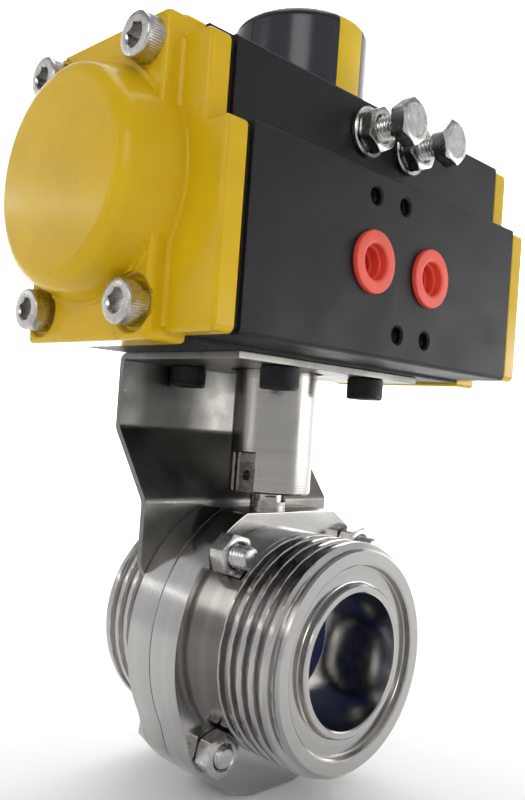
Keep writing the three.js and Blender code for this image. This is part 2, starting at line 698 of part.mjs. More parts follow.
function valveHalf(flangeY) {
  const v = VALVE;
  const seam = 0.05;
  const beyond = v.footR + 1;
  const profile = [
    [v.boreR, v.sealHalf + 0.15], [v.sealOuterR + 0.2, v.sealHalf + 0.15], [v.sealOuterR + 0.2, seam],
    [beyond, seam], [beyond, flangeY], ...unionProfile(flangeY), [v.boreR, v.sealHalf + 0.15],
  ];
  let half = turned('y', profile).intersect(alongY(flangeOutline(), -60, 60));
  for (const x of [-VALVE_BOLTS.offset, VALVE_BOLTS.offset]) {
    for (const z of [-VALVE_BOLTS.offset, VALVE_BOLTS.offset]) {
      half = cut(half, hole('y', VALVE_BOLTS.shankR + GAP, -1, 20).translate([x, 0, z]));
    }
  }
  half = cut(half, hole('z', STEM.r + 1.3, 20, 60));
  return cut(half, hole('z', STEM.r + 0.9, -28, 0));
}

function frontHalf() {
  return valveHalf(VALVE.frontFlangeY).mirror([0, 1, 0]);
}

function upperStemBush() {
  const collar = tube('z', STEM.r + 0.1, STEM.r + 1, 25.5, 38.6);
  const notches = [];
  for (let i = 0; i < 4; i += 1) {
    notches.push(block(3, 8, -2.2, 2.2, 36.9, 40).rotate([0, 0, 8 + 90 * i]));
  }
  return cut(collar, ...notches);
}

function lowerStemBush() {
  return tube('z', STEM.r + 0.1, STEM.r + 0.8, -27.3, -24.4);
}

function pinionBush(inner, outer, from, to) {
  return tube('z', inner, outer, from, to);
}

// Turns a hexagon so that one of its flats faces the hub.
function boltOrientation(x, z) {
  return x * z > 0 ? 15 : -15;
}

function valveBolt(x, z) {
  const seatY = z > 0 ? BRACKET.lowerLegY + BRACKET.thickness + 0.1 : VALVE.rearFlangeY + 0.1;
  const endY = z > 0 ? -19.5 : -15.6;
  const bolt = hexBolt({ ...VALVE_BOLTS, length: seatY - endY, turnDeg: -boltOrientation(x, z) });
  return placed(bolt, [0, 1, 0], [x, seatY, z]);
}

function valveNut(x, z) {
  const nut = hexNut({
    across: VALVE_BOLTS.across,
    height: VALVE_BOLTS.nutH,
    holeR: VALVE_BOLTS.shankR + GAP,
    turnDeg: boltOrientation(x, z),
  });
  return placed(nut, [0, -1, 0], [x, -VALVE.frontFlangeY - 0.1, z]);
}

// ---------------------------------------------------------------- assembly
const group = new THREE.Group();
group.name = 'pneumatic_actuated_valve';

function add(name, finish, solid) {
  const geometry = geometryOf(solid).toNonIndexed();
  geometry.computeVertexNormals();
  const mesh = new THREE.Mesh(geometry, new THREE.MeshStandardMaterial(FINISHES[finish]));
  mesh.name = name;
  mesh.material.name = finish;
  group.add(mesh);
}

function addActuator() {
  const cap = endCap();
  const gasket = capGasket();
  add('actuator_body', 'black_anodised', actuatorBody());
  add('left_end_cap', 'yellow_paint', mirroredX(cap));
  add('right_end_cap', 'yellow_paint', cap);
  add('left_cap_gasket', 'black_rubber', mirroredX(gasket));
  add('right_cap_gasket', 'black_rubber', gasket);
  for (const { end, level, face, side, y, z } of capScrewPlaces()) {
    const screw = placed(capScrew(), [side, 0, 0], [side * CAP_SCREWS.seatX, y, z]);
    add(`${end}_cap_screw_${level}_${face}`, 'polished_steel', screw);
  }
  add('left_port_plug', 'red_plastic', portPlug(-PORTS.x));
  add('right_port_plug', 'red_plastic', portPlug(PORTS.x));
  for (const [side, x] of [['left', -STOP.x], ['right', STOP.x]]) {
    add(`${side}_stop_bolt`, 'polished_steel', stopBolt(x));
    add(`${side}_stop_nut`, 'polished_steel', stopNut(x));
    add(`${side}_stop_washer`, 'polished_steel', stopWasher(x));
  }
}

function addDrive() {
  add('drive_pinion', 'turned_steel', drivePinion());
  add('travel_cam', 'turned_steel', travelCam());
  const clear = 0.1;
  add('lower_pinion_bush', 'white_plastic', pinionBush(PINION.journalR + clear, PINION.journalR + 1.2, 76.4, 82.4));
  add('upper_pinion_bush', 'white_plastic', pinionBush(PINION.coreR + clear, PINION.coreR + 1.4, 137, 144.9));
  add('pinion_snap_ring', 'turned_steel', snapRing());
  add('left_piston', 'cast_aluminium', leftPiston());
  add('right_piston', 'cast_aluminium', halfTurn(leftPiston()));
  add('left_piston_ring', 'black_rubber', leftPistonRing());
  add('right_piston_ring', 'black_rubber', halfTurn(leftPistonRing()));
  add('indicator_dome', 'black_plastic', indicatorDome());
  const [frontStripe, rearStripe] = indicatorStripe();
  add('indicator_stripe_front', 'yellow_plastic', frontStripe);
  add('indicator_stripe_rear', 'yellow_plastic', rearStripe);
  add('indicator_screw', 'polished_steel', indicatorScrew());
}

function addValve() {
  add('mounting_bracket', 'sheet_steel', mountingBracket());
  for (const [side, x] of [['left', -BRACKET_SCREWS.spacing], ['right', BRACKET_SCREWS.spacing]]) {
    add(`bracket_screw_${side}_front`, 'black_oxide', bracketScrew(x, -BRACKET_SCREWS.spacing));
    add(`bracket_screw_${side}_rear`, 'black_oxide', bracketScrew(x, BRACKET_SCREWS.spacing));
  }
  add('stem_coupling', 'turned_steel', stemCoupling());
  add('disc_and_stem', 'polished_steel', discAndStem());
  add('front_valve_body', 'polished_steel', frontHalf());
  add('rear_valve_body', 'polished_steel', valveHalf(VALVE.rearFlangeY));
  add('seat_seal', 'blue_seal', seatSeal());
  add('upper_stem_bush', 'turned_steel', upperStemBush());
  add('lower_stem_bush', 'white_plastic', lowerStemBush());
  for (const [side, x] of [['left', -VALVE_BOLTS.offset], ['right', VALVE_BOLTS.offset]]) {
    for (const [level, z] of [['upper', VALVE_BOLTS.offset], ['lower', -VALVE_BOLTS.offset]]) {
      add(`valve_bolt_${side}_${level}`, 'polished_steel', valveBolt(x, z));
      add(`valve_nut_${side}_${level}`, 'polished_steel', valveNut(x, z));
    }
  }
}

addActuator();
addDrive();
addValve();

export default group;
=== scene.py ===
"""Looks of the pneumatic actuated valve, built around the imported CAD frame.

Lengths are millimetres and are turned into metres where a mesh is made. Only the lights
are placed in metres.
Frame: origin at the centre of the pipe bore, +X along the actuator, -Y towards the front
pipe end and the air ports, +Z up the stem.
"""

import json
import math

import bmesh
import bpy
from mathutils import Matrix, Vector


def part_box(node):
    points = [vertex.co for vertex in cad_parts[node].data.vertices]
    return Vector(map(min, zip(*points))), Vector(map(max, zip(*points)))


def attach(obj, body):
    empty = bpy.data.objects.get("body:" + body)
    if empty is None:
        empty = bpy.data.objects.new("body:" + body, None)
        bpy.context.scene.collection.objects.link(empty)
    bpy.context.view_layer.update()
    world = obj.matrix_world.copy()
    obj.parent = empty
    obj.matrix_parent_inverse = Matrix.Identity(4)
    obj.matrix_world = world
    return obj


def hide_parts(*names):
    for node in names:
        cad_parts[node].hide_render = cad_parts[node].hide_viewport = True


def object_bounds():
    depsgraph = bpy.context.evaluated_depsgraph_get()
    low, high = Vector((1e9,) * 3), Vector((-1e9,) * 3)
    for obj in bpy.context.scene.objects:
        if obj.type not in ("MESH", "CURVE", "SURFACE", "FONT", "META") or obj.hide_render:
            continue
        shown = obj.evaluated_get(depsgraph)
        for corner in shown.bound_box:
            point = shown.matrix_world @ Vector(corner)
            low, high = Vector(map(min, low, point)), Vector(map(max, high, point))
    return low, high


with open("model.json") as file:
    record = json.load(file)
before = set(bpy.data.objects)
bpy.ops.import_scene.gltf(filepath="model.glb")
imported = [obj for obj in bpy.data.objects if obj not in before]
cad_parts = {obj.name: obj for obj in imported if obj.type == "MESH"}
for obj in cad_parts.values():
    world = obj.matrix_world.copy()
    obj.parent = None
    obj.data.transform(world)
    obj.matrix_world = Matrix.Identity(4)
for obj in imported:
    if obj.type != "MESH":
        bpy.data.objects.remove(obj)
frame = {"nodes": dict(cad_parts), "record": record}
CAD_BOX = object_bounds()

MM = 0.001
TAU = 2 * math.pi
ROUND_SIDES = 144
SMALL_SIDES = 64
ARC_STEP = math.radians(10)

RECORD = frame["record"]
BODY_OF = {node: body for body, nodes in RECORD["behaviour"]["bodies"].items() for node in nodes}
SLOT_OF = {row["node"]: row["material_slot"] for row in RECORD["subparts"]}
SIDES = {"left": -1, "right": 1}

CAMERA = {
    "azimuth": -43.45,
    "elevation": -0.49,
    "roll": 4.1,
    "distance": 222.31,
    "target": (-19.03, 0.0, 59.98),
    "lens": 37.45,
    "shift": (0.047, 0.019),
}

BODY = {
    "underside": 76.1,
    "step_z": 120.4,
    "upper_face": -33.0,
    "pad_half": 24.0,
    "pad_height": 5.0,
    "bore_r": 26.0,
    "port_r": 6.15,
    "port_depth": 18.0,
    "screw_dz": 16.0,
    "screw_r": 2.1,
    "screw_depth": 8.0,
    "stop_hole_r": 3.2,
    "lower_shaft_r": 12.4,
    "upper_shaft_r": 8.8,
    "cam_room_r": 14.4,
    "cam_room_z": (126.0, 134.3),
}
CAP = {
    "tier_inset": 0.5,
    "tier_length": 6.4,
    "plate_half": 24.0,
    "plate_top": 144.0,
    "plate_end": 66.0,
    "plate_round": 1.6,
    "plate_edge": 1.1,
    "fillet": 1.4,
    "boss_base": 28.1,
    "boss_tip": 25.6,
    "boss_round": 4.2,
    "boss_fillet": 0.8,
    "pocket_r": 21.5,
    "pocket_end": 72.6,
    "seat_x": 64.5,
    "seat_r": 6.2,
}
M6 = {"shank": 2.95, "root": 2.5, "pitch": 1.0, "hole": 3.3}
SOCKET_HEAD = {"radius": 5.0, "height": 6.0, "key": 5.0, "knurls": 52, "knurl_depth": 0.1}
HEX = {
    "across": 10.0,
    "head": 4.0,
    "stop_head": 3.8,
    "corner": 0.562,
    "bolt_face": 0.455,
    "nut_face": 0.475,
    "ring_outer": 0.37,
    "ring_inner": 0.33,
    "ring_depth": 0.1,
}
STOP_TURNS = {"left": {"bolt": -22.0, "nut": 28.0}, "right": {"bolt": -9.0, "nut": 21.0}}
DOME = {
    "radius": 18.9,
    "round": 3.0,
    "wall": 3.0,
    "roof": 4.5,
    "post_r": 9.0,
    "socket_half": 4.7,
    "socket_top": 157.3,
    "stripe_half": 4.75,
    "stripe_depth": 1.6,
    "stripe_play": 0.12,
    "seam_half": 0.14,
    "seam_depth": 0.35,
    "recess_r": 5.6,
    "recess_depth": 4.2,
    "screw_head": 3.8,
    "screw_key": 4.0,
    "screw_length": 13.5,
}
BRACKET = {
    "thickness": 1.8,
    "upper_bend": 55.0,
    "lower_bend": 36.4,
    "lower_y": 9.3,
    "shoulder_z": 41.0,
    "shoulder": 1.0,
    "ear_round": 6.0,
    "hub_clear_r": 31.2,
    "coupling_clear_r": 13.0,
}
COUPLING = {
    "radius": 11.5,
    "barrel_top": 74.7,
    "chamfer": 0.45,
    "spigot_half": 5.25,
    "slot_half": 4.35,
    "slot_top": 50.6,
}
STEM = {"radius": 4.0, "tang_half": 4.0, "tang_reach": 9.3, "tang_bottom": 39.3, "hole": 1.5, "hole_z": 44.0}
DISC = {"half": 2.6, "rim_half": 0.9, "rim_slope": 1.3, "boss_r": 9.0, "hub_r": 4.8}
VALVE = {
    "bore": 17.4,
    "seal_half": 9.85,
    "seal_r": 24.2,
    "hub_r": 30.0,
    "hub_end": 14.4,
    "pitch": 3.9,
    "phase": 0.423,
    "root_r": 27.9,
    "crest_r": 30.0,
    "face_r": 28.5,
    "groove_outer": 24.6,
    "groove_inner": 19.4,
    "groove_depth": 2.0,
    "flange_r": 39.1,
    "front_flange": 9.7,
    "rear_flange": 9.2,
    "flat_z": 35.0,
    "foot_r": 41.3,
    "foot_from": 208.0,
    "foot_full": 224.0,
}


# ---- frame lookups
def span(node):
    """Lowest and highest corner of a CAD node, in millimetres."""
    low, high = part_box(node)
    return low / MM, high / MM


def middle(node):
    low, high = span(node)
    return (low + high) / 2


# ---- mesh tools
def new_object(name, data):
    """Adds an object to the scene."""
    obj = bpy.data.objects.new(name, data)
    bpy.context.scene.collection.objects.link(obj)
    return obj


def mesh_object(name, vertices, faces):
    mesh = bpy.data.meshes.new(name)
    mesh.from_pydata([tuple(value * MM for value in v) for v in vertices], [], faces)
    work = bmesh.new()
    work.from_mesh(mesh)
    bmesh.ops.recalc_face_normals(work, faces=work.faces)
    work.to_mesh(mesh)
    work.free()
    return new_object(name, mesh)


def on_axis(axis, along, u, v):
    """Point at a distance along an axis, and u, v across it."""
    if axis == "x":
        return (along, u, v)
    if axis == "y":
        return (u, along, v)
    return (u, v, along)


def turned(profile, axis, at=(0, 0, 0), sides=ROUND_SIDES, radius_at=None):
    """Revolves an outline of (radius, along). radius_at(angle, radius, along) may shape it round the axis."""
    vertices, rings = [], []
    for radius, along in profile:
        if radius < 1e-6:
            rings.append([len(vertices)])
            vertices.append(on_axis(axis, along, 0, 0))
            continue
        rings.append(list(range(len(vertices), len(vertices) + sides)))
        for side in range(sides):
            angle = TAU * side / sides
            r = radius_at(angle, radius, along) if radius_at else radius
            vertices.append(on_axis(axis, along, r * math.cos(angle), r * math.sin(angle)))
    pairs = list(zip(rings, rings[1:]))
    if len(rings[0]) > 1:
        pairs.append((rings[-1], rings[0]))
    faces = []
    for first, second in pairs:
        if len(first) == 1 and len(second) == 1:
            continue
        for side in range(sides):
            after = (side + 1) % sides
            if len(first) == 1:
                faces.append((first[0], second[side], second[after]))
            elif len(second) == 1:
                faces.append((first[side], second[0], first[after]))
            else:
                faces.append((first[side], second[side], second[after], first[after]))
    vertices = [tuple(c + offset for c, offset in zip(v, at)) for v in vertices]
    return mesh_object("turned", vertices, faces)


def bar(axis, radius, start, end, at=(0, 0, 0), sides=SMALL_SIDES):
    return turned([(0, start), (radius, start), (radius, end), (0, end)], axis, at, sides)


def rounded(corners, step=ARC_STEP):
    """Outline with each corner (u, v, radius) replaced by an arc of that radius."""
    points = []
    for i, (u, v, radius) in enumerate(corners):
        corner = Vector((u, v))
        if radius == 0:
            points.append(corner)
            continue
        before = (Vector(corners[i - 1][:2]) - corner).normalized()
        after = (Vector(corners[(i + 1) % len(corners)][:2]) - corner).normalized()
        half = before.angle(after) / 2
        centre = corner + (before + after).normalized() * radius / math.sin(half)
        start = corner + before * radius / math.tan(half) - centre
        turn = start.angle_signed(corner + after * radius / math.tan(half) - centre)
        steps = max(2, round(abs(turn) / step))
        for k in range(steps + 1):
            points.append(centre + Matrix.Rotation(-turn * k / steps, 2) @ start)
    return [tuple(p) for p in points]


def arc(radius, from_deg, to_deg, steps, centre=(0, 0)):
    """Points along an arc, as (u, v)."""
    points = []
    for k in range(steps + 1):
        angle = math.radians(from_deg + (to_deg - from_deg) * k / steps)
        points.append((centre[0] + radius * math.cos(angle), centre[1] + radius * math.sin(angle)))
    return points


def prism(points, axis, start, end, edge=0.0, segments=3):
    """Pushes an outline along an axis, with both end edges rounded by edge."""
    count = len(points)
    vertices = [on_axis(axis, start, u, v) for u, v in points]
    vertices += [on_axis(axis, end, u, v) for u, v in points]
    faces = [tuple(range(count)), tuple(range(count, 2 * count))]
    for i in range(count):
        j = (i + 1) % count
        faces.append((i, j, count + j, count + i))
    obj = mesh_object("prism", vertices, faces)
    if edge > 0:
        work = bmesh.new()
        work.from_mesh(obj.data)
        ends = [e for e in work.edges if any(len(f.verts) == count and count > 4 for f in e.link_faces)]
        if count == 4:
            ends = list(work.edges)
        options = {"segments": segments, "profile": 0.5, "affect": "EDGES", "clamp_overlap": True}
        bmesh.ops.bevel(work, geom=ends, offset=edge * MM, **options)
        work.to_mesh(obj.data)
        work.free()
    return obj


def block(low, high, edge=0.0):
    points = [(low[0], low[1]), (high[0], low[1]), (high[0], high[1]), (low[0], high[1])]
    return prism(points, "z", low[2], high[2], edge, 2)


def applied(obj):
    """Turns the modifiers of an object into its mesh."""
    evaluated = obj.evaluated_get(bpy.context.evaluated_depsgraph_get())
    mesh = bpy.data.meshes.new_from_object(evaluated)
    obj.modifiers.clear()
    obj.data = mesh
    return obj


def combine(obj, others, operation):
    for other in others:
        modifier = obj.modifiers.new("combine", "BOOLEAN")
        modifier.object = other
        modifier.operation = operation
        modifier.solver = "EXACT"
    applied(obj)
    for other in others:
        bpy.data.objects.remove(other)
    return obj


def join(obj, *others):
    return combine(obj, others, "UNION")


def cut(obj, *others):
    return combine(obj, others, "DIFFERENCE")


def common(obj, *others):
    return combine(obj, others, "INTERSECT")


def moved(obj, matrix):
    obj.data.transform(matrix)
    if matrix.determinant() < 0:
        obj.data.flip_normals()
    return obj


def shifted(obj, offset):
    return moved(obj, Matrix.Translation(Vector(offset) * MM))


def pointed(obj, direction, at):
    """Turns a piece made along +Z to point along a direction, with its base at a point."""
    turn = Vector((0, 0, 1)).rotation_difference(Vector(direction)).to_matrix().to_4x4()
    return moved(obj, Matrix.Translation(Vector(at) * MM) @ turn)


def mirrored(obj, side):
    """Mirrors a piece made for +X to the left when side is -1."""
    if side < 0:
        moved(obj, Matrix.Scale(-1, 4, Vector((1, 0, 0))))
    return obj


def copied(obj):
    return new_object(obj.name, obj.data.copy())


def shade(obj, angle=32):
    """Smooth shading with hard edges above an angle, and flat faces kept flat."""
    work = bmesh.new()
    work.from_mesh(obj.data)
    bmesh.ops.remove_doubles(work, verts=work.verts, dist=1e-7)
    bmesh.ops.dissolve_degenerate(work, edges=work.edges, dist=1e-7)
    work.to_mesh(obj.data)
    work.free()
    obj.data.shade_smooth()
    obj.data.set_sharp_from_angle(angle=math.radians(angle))
    modifier = obj.modifiers.new("flat faces", "WEIGHTED_NORMAL")
    modifier.keep_sharp = True
    return obj


def stand_for(obj, *nodes, angle=32):
    """Gives a piece its node's name, body, slot and finish, and hides the plain node."""
    shade(obj, angle)
    obj.name = nodes[0] + "_detail"
    obj.data.name = obj.name
    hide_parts(*nodes)
    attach(obj, BODY_OF[nodes[0]])
    obj.data.materials.clear()
    obj.data.materials.append(finish_for(nodes[0]))
    return obj


# ---- fasteners
def threaded_rod(length):
    """M6 rod hanging below z = 0, with a chamfered tip."""
    root, crest, pitch = M6["root"], M6["shank"], M6["pitch"]
    rows_per_pitch, tip, fade = 8, 0.3, 0.6
    rows = int(length / pitch * rows_per_pitch)
    profile = [(0, -length), (root - tip, -length)]
    profile += [(crest, -length + tip + (length - tip) * i / rows) for i in range(rows + 1)]
    profile += [(0, 0.0)]

    def radius_at(angle, radius, along):
        """Helical thread that fades out towards the tip."""
        if radius <= root:
            return radius
        phase = (along / pitch - angle / TAU) % 1.0
        height = 1 - abs(2 * phase - 1)
        height = min(1.0, max(0.0, height * 1.5 - 0.22))
        height *= min(1.0, max(0.0, (along + length) / (fade * pitch)))
        return root + (crest - root) * height

    return turned(profile, "z", sides=40, radius_at=radius_at)


def hex_outline(across, turn_deg):
    return arc(across / math.sqrt(3), turn_deg, turn_deg + 300, 5)


def hex_body(across, height, turn_deg, face_ratio, both_faces=False):
    """Hexagon with its corners turned off in a cone, standing on z = 0."""
    beyond = across * HEX["corner"]
    face = across * face_ratio
    drop = (beyond - face) * math.tan(math.radians(30))
    base = [(0, 0), (face, 0), (beyond, drop)] if both_faces else [(0, 0), (beyond, 0)]
    cone = turned(base + [(beyond, height - drop), (face, height), (0, height)], "z", sides=96)
    return common(cone, prism(hex_outline(across, turn_deg), "z", -1, height + 1))


def hex_nut(across, height, turn_deg):
    """Hexagon nut standing on z = 0, its hole countersunk at both ends."""
    nut = hex_body(across, height, turn_deg, HEX["nut_face"], both_faces=True)
    r, sink = M6["shank"] + 0.12, 0.6
    profile = [(0, -1), (r + sink, -1), (r + sink, 0.0), (r, sink)]
    profile += [(r, height - sink), (r + sink, height), (r + sink, height + 1), (0, height + 1)]
    return cut(nut, turned(profile, "z", sides=48))


def hex_bolt(across, head_height, length, turn_deg):
    """Hexagon head with a faint sunk ring on its face, and a threaded shank below z = 0."""
    head = hex_body(across, head_height, turn_deg, HEX["bolt_face"])
    outer, inner = across * HEX["ring_outer"], across * HEX["ring_inner"]
    floor, top, slope, overlap = head_height - HEX["ring_depth"], head_height + 1, 0.1, 0.4
    groove = [(inner, top), (inner, head_height), (inner + slope, floor)]
    groove += [(outer - slope, floor), (outer, head_height), (outer, top)]
    cut(head, turned(groove, "z", sides=72))
    return join(head, shifted(threaded_rod(length + overlap), (0, 0, overlap)))


def socket_screw(head_radius, head_height, key, length):
    """Socket head screw with a knurled side, its head above z = 0."""
    knurls, depth = SOCKET_HEAD["knurls"], SOCKET_HEAD["knurl_depth"]
    knurl_from, knurl_to = 0.7, head_height - 1.0

    def radius_at(angle, radius, along):
        if knurl_from < along < knurl_to and radius > head_radius - 0.3:
            return radius - depth * (0.5 - 0.5 * math.cos(angle * knurls)) ** 2
        return radius

    r, top, crown, overlap = head_radius, head_height, 0.7, 0.3
    profile = [(0, 0), (r - 0.35, 0), (r - 0.08, 0.25), (r, 0.6), (r, 0.8), (r, 1.6)]
    profile += [(r, knurl_to - 1.0), (r, knurl_to - 0.15), (r, knurl_to + 0.1)]
    profile += [*arc(crown, 0, 75, 4, (r - crown, top - crown)), (key * 0.66, top), (0, top)]
    head = turned(profile, "z", sides=knurls * 4, radius_at=radius_at)
    recess = prism(hex_outline(key, 12), "z", top * 0.42, top + 1)
    rim = key * 0.6
    sink = [(0, top - 0.5), (key * 0.5, top - 0.5), (rim, top + 0.05), (rim, top + 1), (0, top + 1)]
    cut(head, recess, turned(sink, "z", sides=48))
    return join(head, shifted(threaded_rod(length + overlap), (0, 0, overlap)))


# ---- actuator
def actuator_outline(foot=None, inset=0.0, soft=0.0):
    """Section across the actuator as (y, z, corner radius): wide port block below, stepped back above."""
    low, high = span("actuator_body")
    pad, bottom, top = BODY["pad_half"], BODY["underside"], high.z - inset
    shoulder, step = high.z - BODY["pad_height"] - inset, BODY["step_z"] - inset
    front, upper, rear = low.y + inset, BODY["upper_face"] + inset, high.y - inset
    feet = [(-pad, bottom, 0.15), (-pad, foot, 0.3), (pad, foot, 0.3), (pad, bottom, 0.15)] if foot else []
    return [
        (front, bottom, 1.3 + soft),
        *feet,
        (rear, bottom, 1.6 + soft),
        (rear, shoulder, 1.4 + soft),
        (pad, shoulder, 0.6 + soft),
        (pad, top, 0.8 + soft),
        (-pad, top, 0.8 + soft),
        (-pad, shoulder, 0.6 + soft),
        (upper, shoulder, 1.0 + soft),
        (upper, step, 0.5 + soft),
        (front, step, 0.8 + soft),
    ]


def tapped_hole(radius, depth):
    """Cutter for a tapped hole opening towards -Y at y = 0, with a countersink."""
    pitch = 0.8
    profile = [(0, depth), (radius, depth)]
    y = depth - pitch
    while y > 0.9:
        profile += [(radius + 0.25, y + pitch / 2), (radius, y)]
        y -= pitch
    profile += [(radius, 0.45), (radius + 0.5, 0.0), (radius + 0.5, -1.0), (0, -1.0)]
    return turned(profile, "y", sides=48)


def build_actuator_body():
    low, high = span("actuator_body")
    body = prism(rounded(actuator_outline(low.z)), "x", low.x, high.x, 0.35, 2)
    axis_z = middle("left_piston").z
    b, ports = BODY, [middle(side + "_port_plug") for side in SIDES]
    tools = [bar("x", b["bore_r"], -60, 60, (0, 0, axis_z), 96)]
    tools.append(bar("z", b["lower_shaft_r"], 70, axis_z))
    tools.append(bar("z", b["upper_shaft_r"], axis_z, 150))
    tools.append(bar("z", b["cam_room_r"], *b["cam_room_z"]))
    for port in ports:
        tools.append(bar("y", b["port_r"], low.y - 2, low.y + b["port_depth"], (port.x, 0, port.z)))
    for x, way in ((ports[0].x, 1), (0, 1), (0, -1), (ports[1].x, -1)):
        hole = tapped_hole(b["screw_r"], b["screw_depth"])
        tools.append(shifted(hole, (x, low.y, ports[0].z + way * b["screw_dz"])))
    for side in SIDES:
        centre = middle(side + "_stop_bolt")
        tools.append(bar("y", b["stop_hole_r"], -34, -8, (centre.x, 0, centre.z)))
    stand_for(cut(body, *tools), "actuator_body")


def cap_seat(y, z):
    """Cutter for one spot-faced screw seat, with a soft rim at the plate's face."""
    c = CAP
    r, hole, round_off, rim = c["seat_r"], 3.2, 0.4, 0.45
    seat, face = c["seat_x"], c["plate_end"]
    profile = [(0, 50), (hole, 50), (hole, seat), (r - round_off, seat), (r, seat + round_off)]
    profile += [(r, face - rim), (r + rim, face), (r + rim, 90), (0, 90)]
    return turned(profile, "x", (0, y, z), 96)


def fillet_strip(tier_end, side, bottom, top):
    """Concave fillet between the tier's face and one side of the plate."""
    c = CAP
    f, half, sunk = c["fillet"], c["plate_half"], 0.05
    centre = (tier_end - sunk + f, half - sunk + f)
    curve = arc(f, 270, 180, 8, centre)
    outline = [(tier_end - 2, half - 2), (tier_end + f - sunk, half - 2)]
    outline += [*curve, (tier_end - 2, half - sunk + f)]
    return prism([(x, side * y) for x, y in outline], "z", bottom, top)


def boss_ring(axis_z, bottom):
    """Concave fillet where the boss meets the plate, ending inside the plate's sides."""
    c = CAP
    fillet, base, face, sunk, edge = c["boss_fillet"], c["boss_base"], c["plate_end"], 0.02, c["plate_edge"]
    wide, tall = base - sunk + fillet, face - sunk + fillet
    foot = arc(fillet, 270, 180, 5, (wide, tall))
    profile = [(base - 2, face - 2), (wide, face - 2), *foot, (base - 2, tall)]
    ring = turned(profile, "x", (0, 0, axis_z))
    reach = c["plate_half"] - c["plate_round"]
    return common(ring, block((face - 3, -reach, bottom + edge), (face + 9, reach, c["plate_top"] - edge)))


def cap_boss(axis_z, tier_end, inner, tip_x):
    """Round boss over the piston, with a fillet at the tier and a rounded tip."""
    c = CAP
    fillet, base, round_r, sunk = c["boss_fillet"], c["boss_base"], c["boss_round"], 0.02
    foot = arc(fillet, 270, 180, 5, (base + fillet, tier_end - sunk + fillet))
    tip = arc(round_r, 8, 90, 6, (c["boss_tip"] - round_r, tip_x - round_r))
    profile = [(0, inner + 4), (base + fillet, inner + 4), *foot, *tip, (0, tip_x)]
    return turned(profile, "x", (0, 0, axis_z))


def build_end_cap(name, side):
    """Stepped tier against the body, plate with the four screws, and boss; made for +X and mirrored."""
    c = CAP
    low, high = span("right_end_cap")
    inner = low.x
    tier_end = inner + c["tier_length"]
    axis_z = middle("left_piston").z
    half, end, r, tier_edge = c["plate_half"], c["plate_end"], c["plate_round"], 1.1
    tier_outline = actuator_outline(inset=c["tier_inset"], soft=0.5)
    tier = prism(rounded(tier_outline), "x", inner, tier_end, tier_edge, 4)
    back = inner + 0.4
    plate_corners = [(back, -half, 0), (end, -half, r), (end, half, r), (back, half, 0)]
    plate = prism(rounded(plate_corners), "z", low.z, c["plate_top"], c["plate_edge"], 3)
    bottom, shoulder = tier_outline[0][1] + tier_edge, tier_outline[2][1] - tier_edge
    strips = [fillet_strip(tier_end, y_side, bottom, shoulder) for y_side in (-1, 1)]
    boss = cap_boss(axis_z, tier_end, inner, high.x)
    ring = boss_ring(axis_z, low.z)
    pocket = bar("x", c["pocket_r"], inner - 1, c["pocket_end"], (0, 0, axis_z), ROUND_SIDES)
    cap = join(tier, plate, *strips, boss, ring)
    seats = []
    for level in ("lower", "upper"):
        for face in ("front", "rear"):
            screw = middle(f"right_cap_screw_{level}_{face}")
            seats.append(cap_seat(screw.y, screw.z))
    cut(cap, pocket, *seats)
    stand_for(mirrored(cap, side), name, angle=38)


def build_cap_screws():
    low, high = span("right_cap_screw_upper_front")
    head = SOCKET_HEAD
    template = socket_screw(head["radius"], head["height"], head["key"], high.x - low.x - head["height"])
    for side_name, side in SIDES.items():
        for level in ("lower", "upper"):
            for face in ("front", "rear"):
                node = f"{side_name}_cap_screw_{level}_{face}"
                centre = middle(node)
                seat = (side * (high.x - head["height"]), centre.y, centre.z)
                stand_for(pointed(copied(template), (side, 0, 0), seat), node)
    bpy.data.objects.remove(template)


def build_stop_set(side_name):
    """Travel stop: bolt, lock nut and washer on the step above the ports."""
    bolt_low, bolt_high = span(side_name + "_stop_bolt")
    nut_low, nut_high = span(side_name + "_stop_nut")
    washer_low, washer_high = span(side_name + "_stop_washer")
    centre = middle(side_name + "_stop_bolt")
    across, head_height, turns = HEX["across"], HEX["stop_head"], STOP_TURNS[side_name]
    base_y = bolt_low.y + head_height
    bolt = hex_bolt(across, head_height, bolt_high.y - base_y, turns["bolt"])
    stand_for(pointed(bolt, (0, -1, 0), (centre.x, base_y, centre.z)), side_name + "_stop_bolt")
    nut = hex_nut(across, nut_high.y - nut_low.y, turns["nut"])
    stand_for(pointed(nut, (0, -1, 0), (centre.x, nut_high.y, centre.z)), side_name + "_stop_nut")
    r, hole = (washer_high.x - washer_low.x) / 2, M6["hole"]
    thick = washer_high.y - washer_low.y
    ring = [(hole, 0.1), (hole + 0.1, 0), (r - 0.15, 0), (r, 0.15)]
    ring += [(r, thick - 0.25), (r - 0.25, thick), (hole + 0.1, thick), (hole, thick - 0.1)]
    washer = turned(ring, "z", sides=96)
    stand_for(pointed(washer, (0, -1, 0), (centre.x, washer_high.y, centre.z)), side_name + "_stop_washer")


def build_port_plug(node):
    """Hollow transit plug: rounded flange, plain stem in the port, stepped recess in front."""
    low, high = span(node)
    centre = middle(node)
    face = low.y + 1.3
    flange = (high.x - low.x) / 2
    profile = [
        (4.35, low.y + 0.35), (4.6, low.y + 0.1), (5.0, low.y), (flange - 0.5, low.y),
        (flange - 0.15, low.y + 0.15), (flange, low.y + 0.5), (flange, face - 0.1),
        (5.9, face - 0.1), (5.9, high.y), (0, high.y), (0, high.y - 1.5),
        (3.1, high.y - 1.5), (3.1, face + 3.4), (3.3, face + 3.1), (3.75, face + 3.0),
        (3.75, face + 1.0), (3.95, face + 0.8), (4.35, face + 0.7),
    ]
    plug = turned(profile, "y", (centre.x, 0, centre.z), 96)
    stand_for(plug, node)


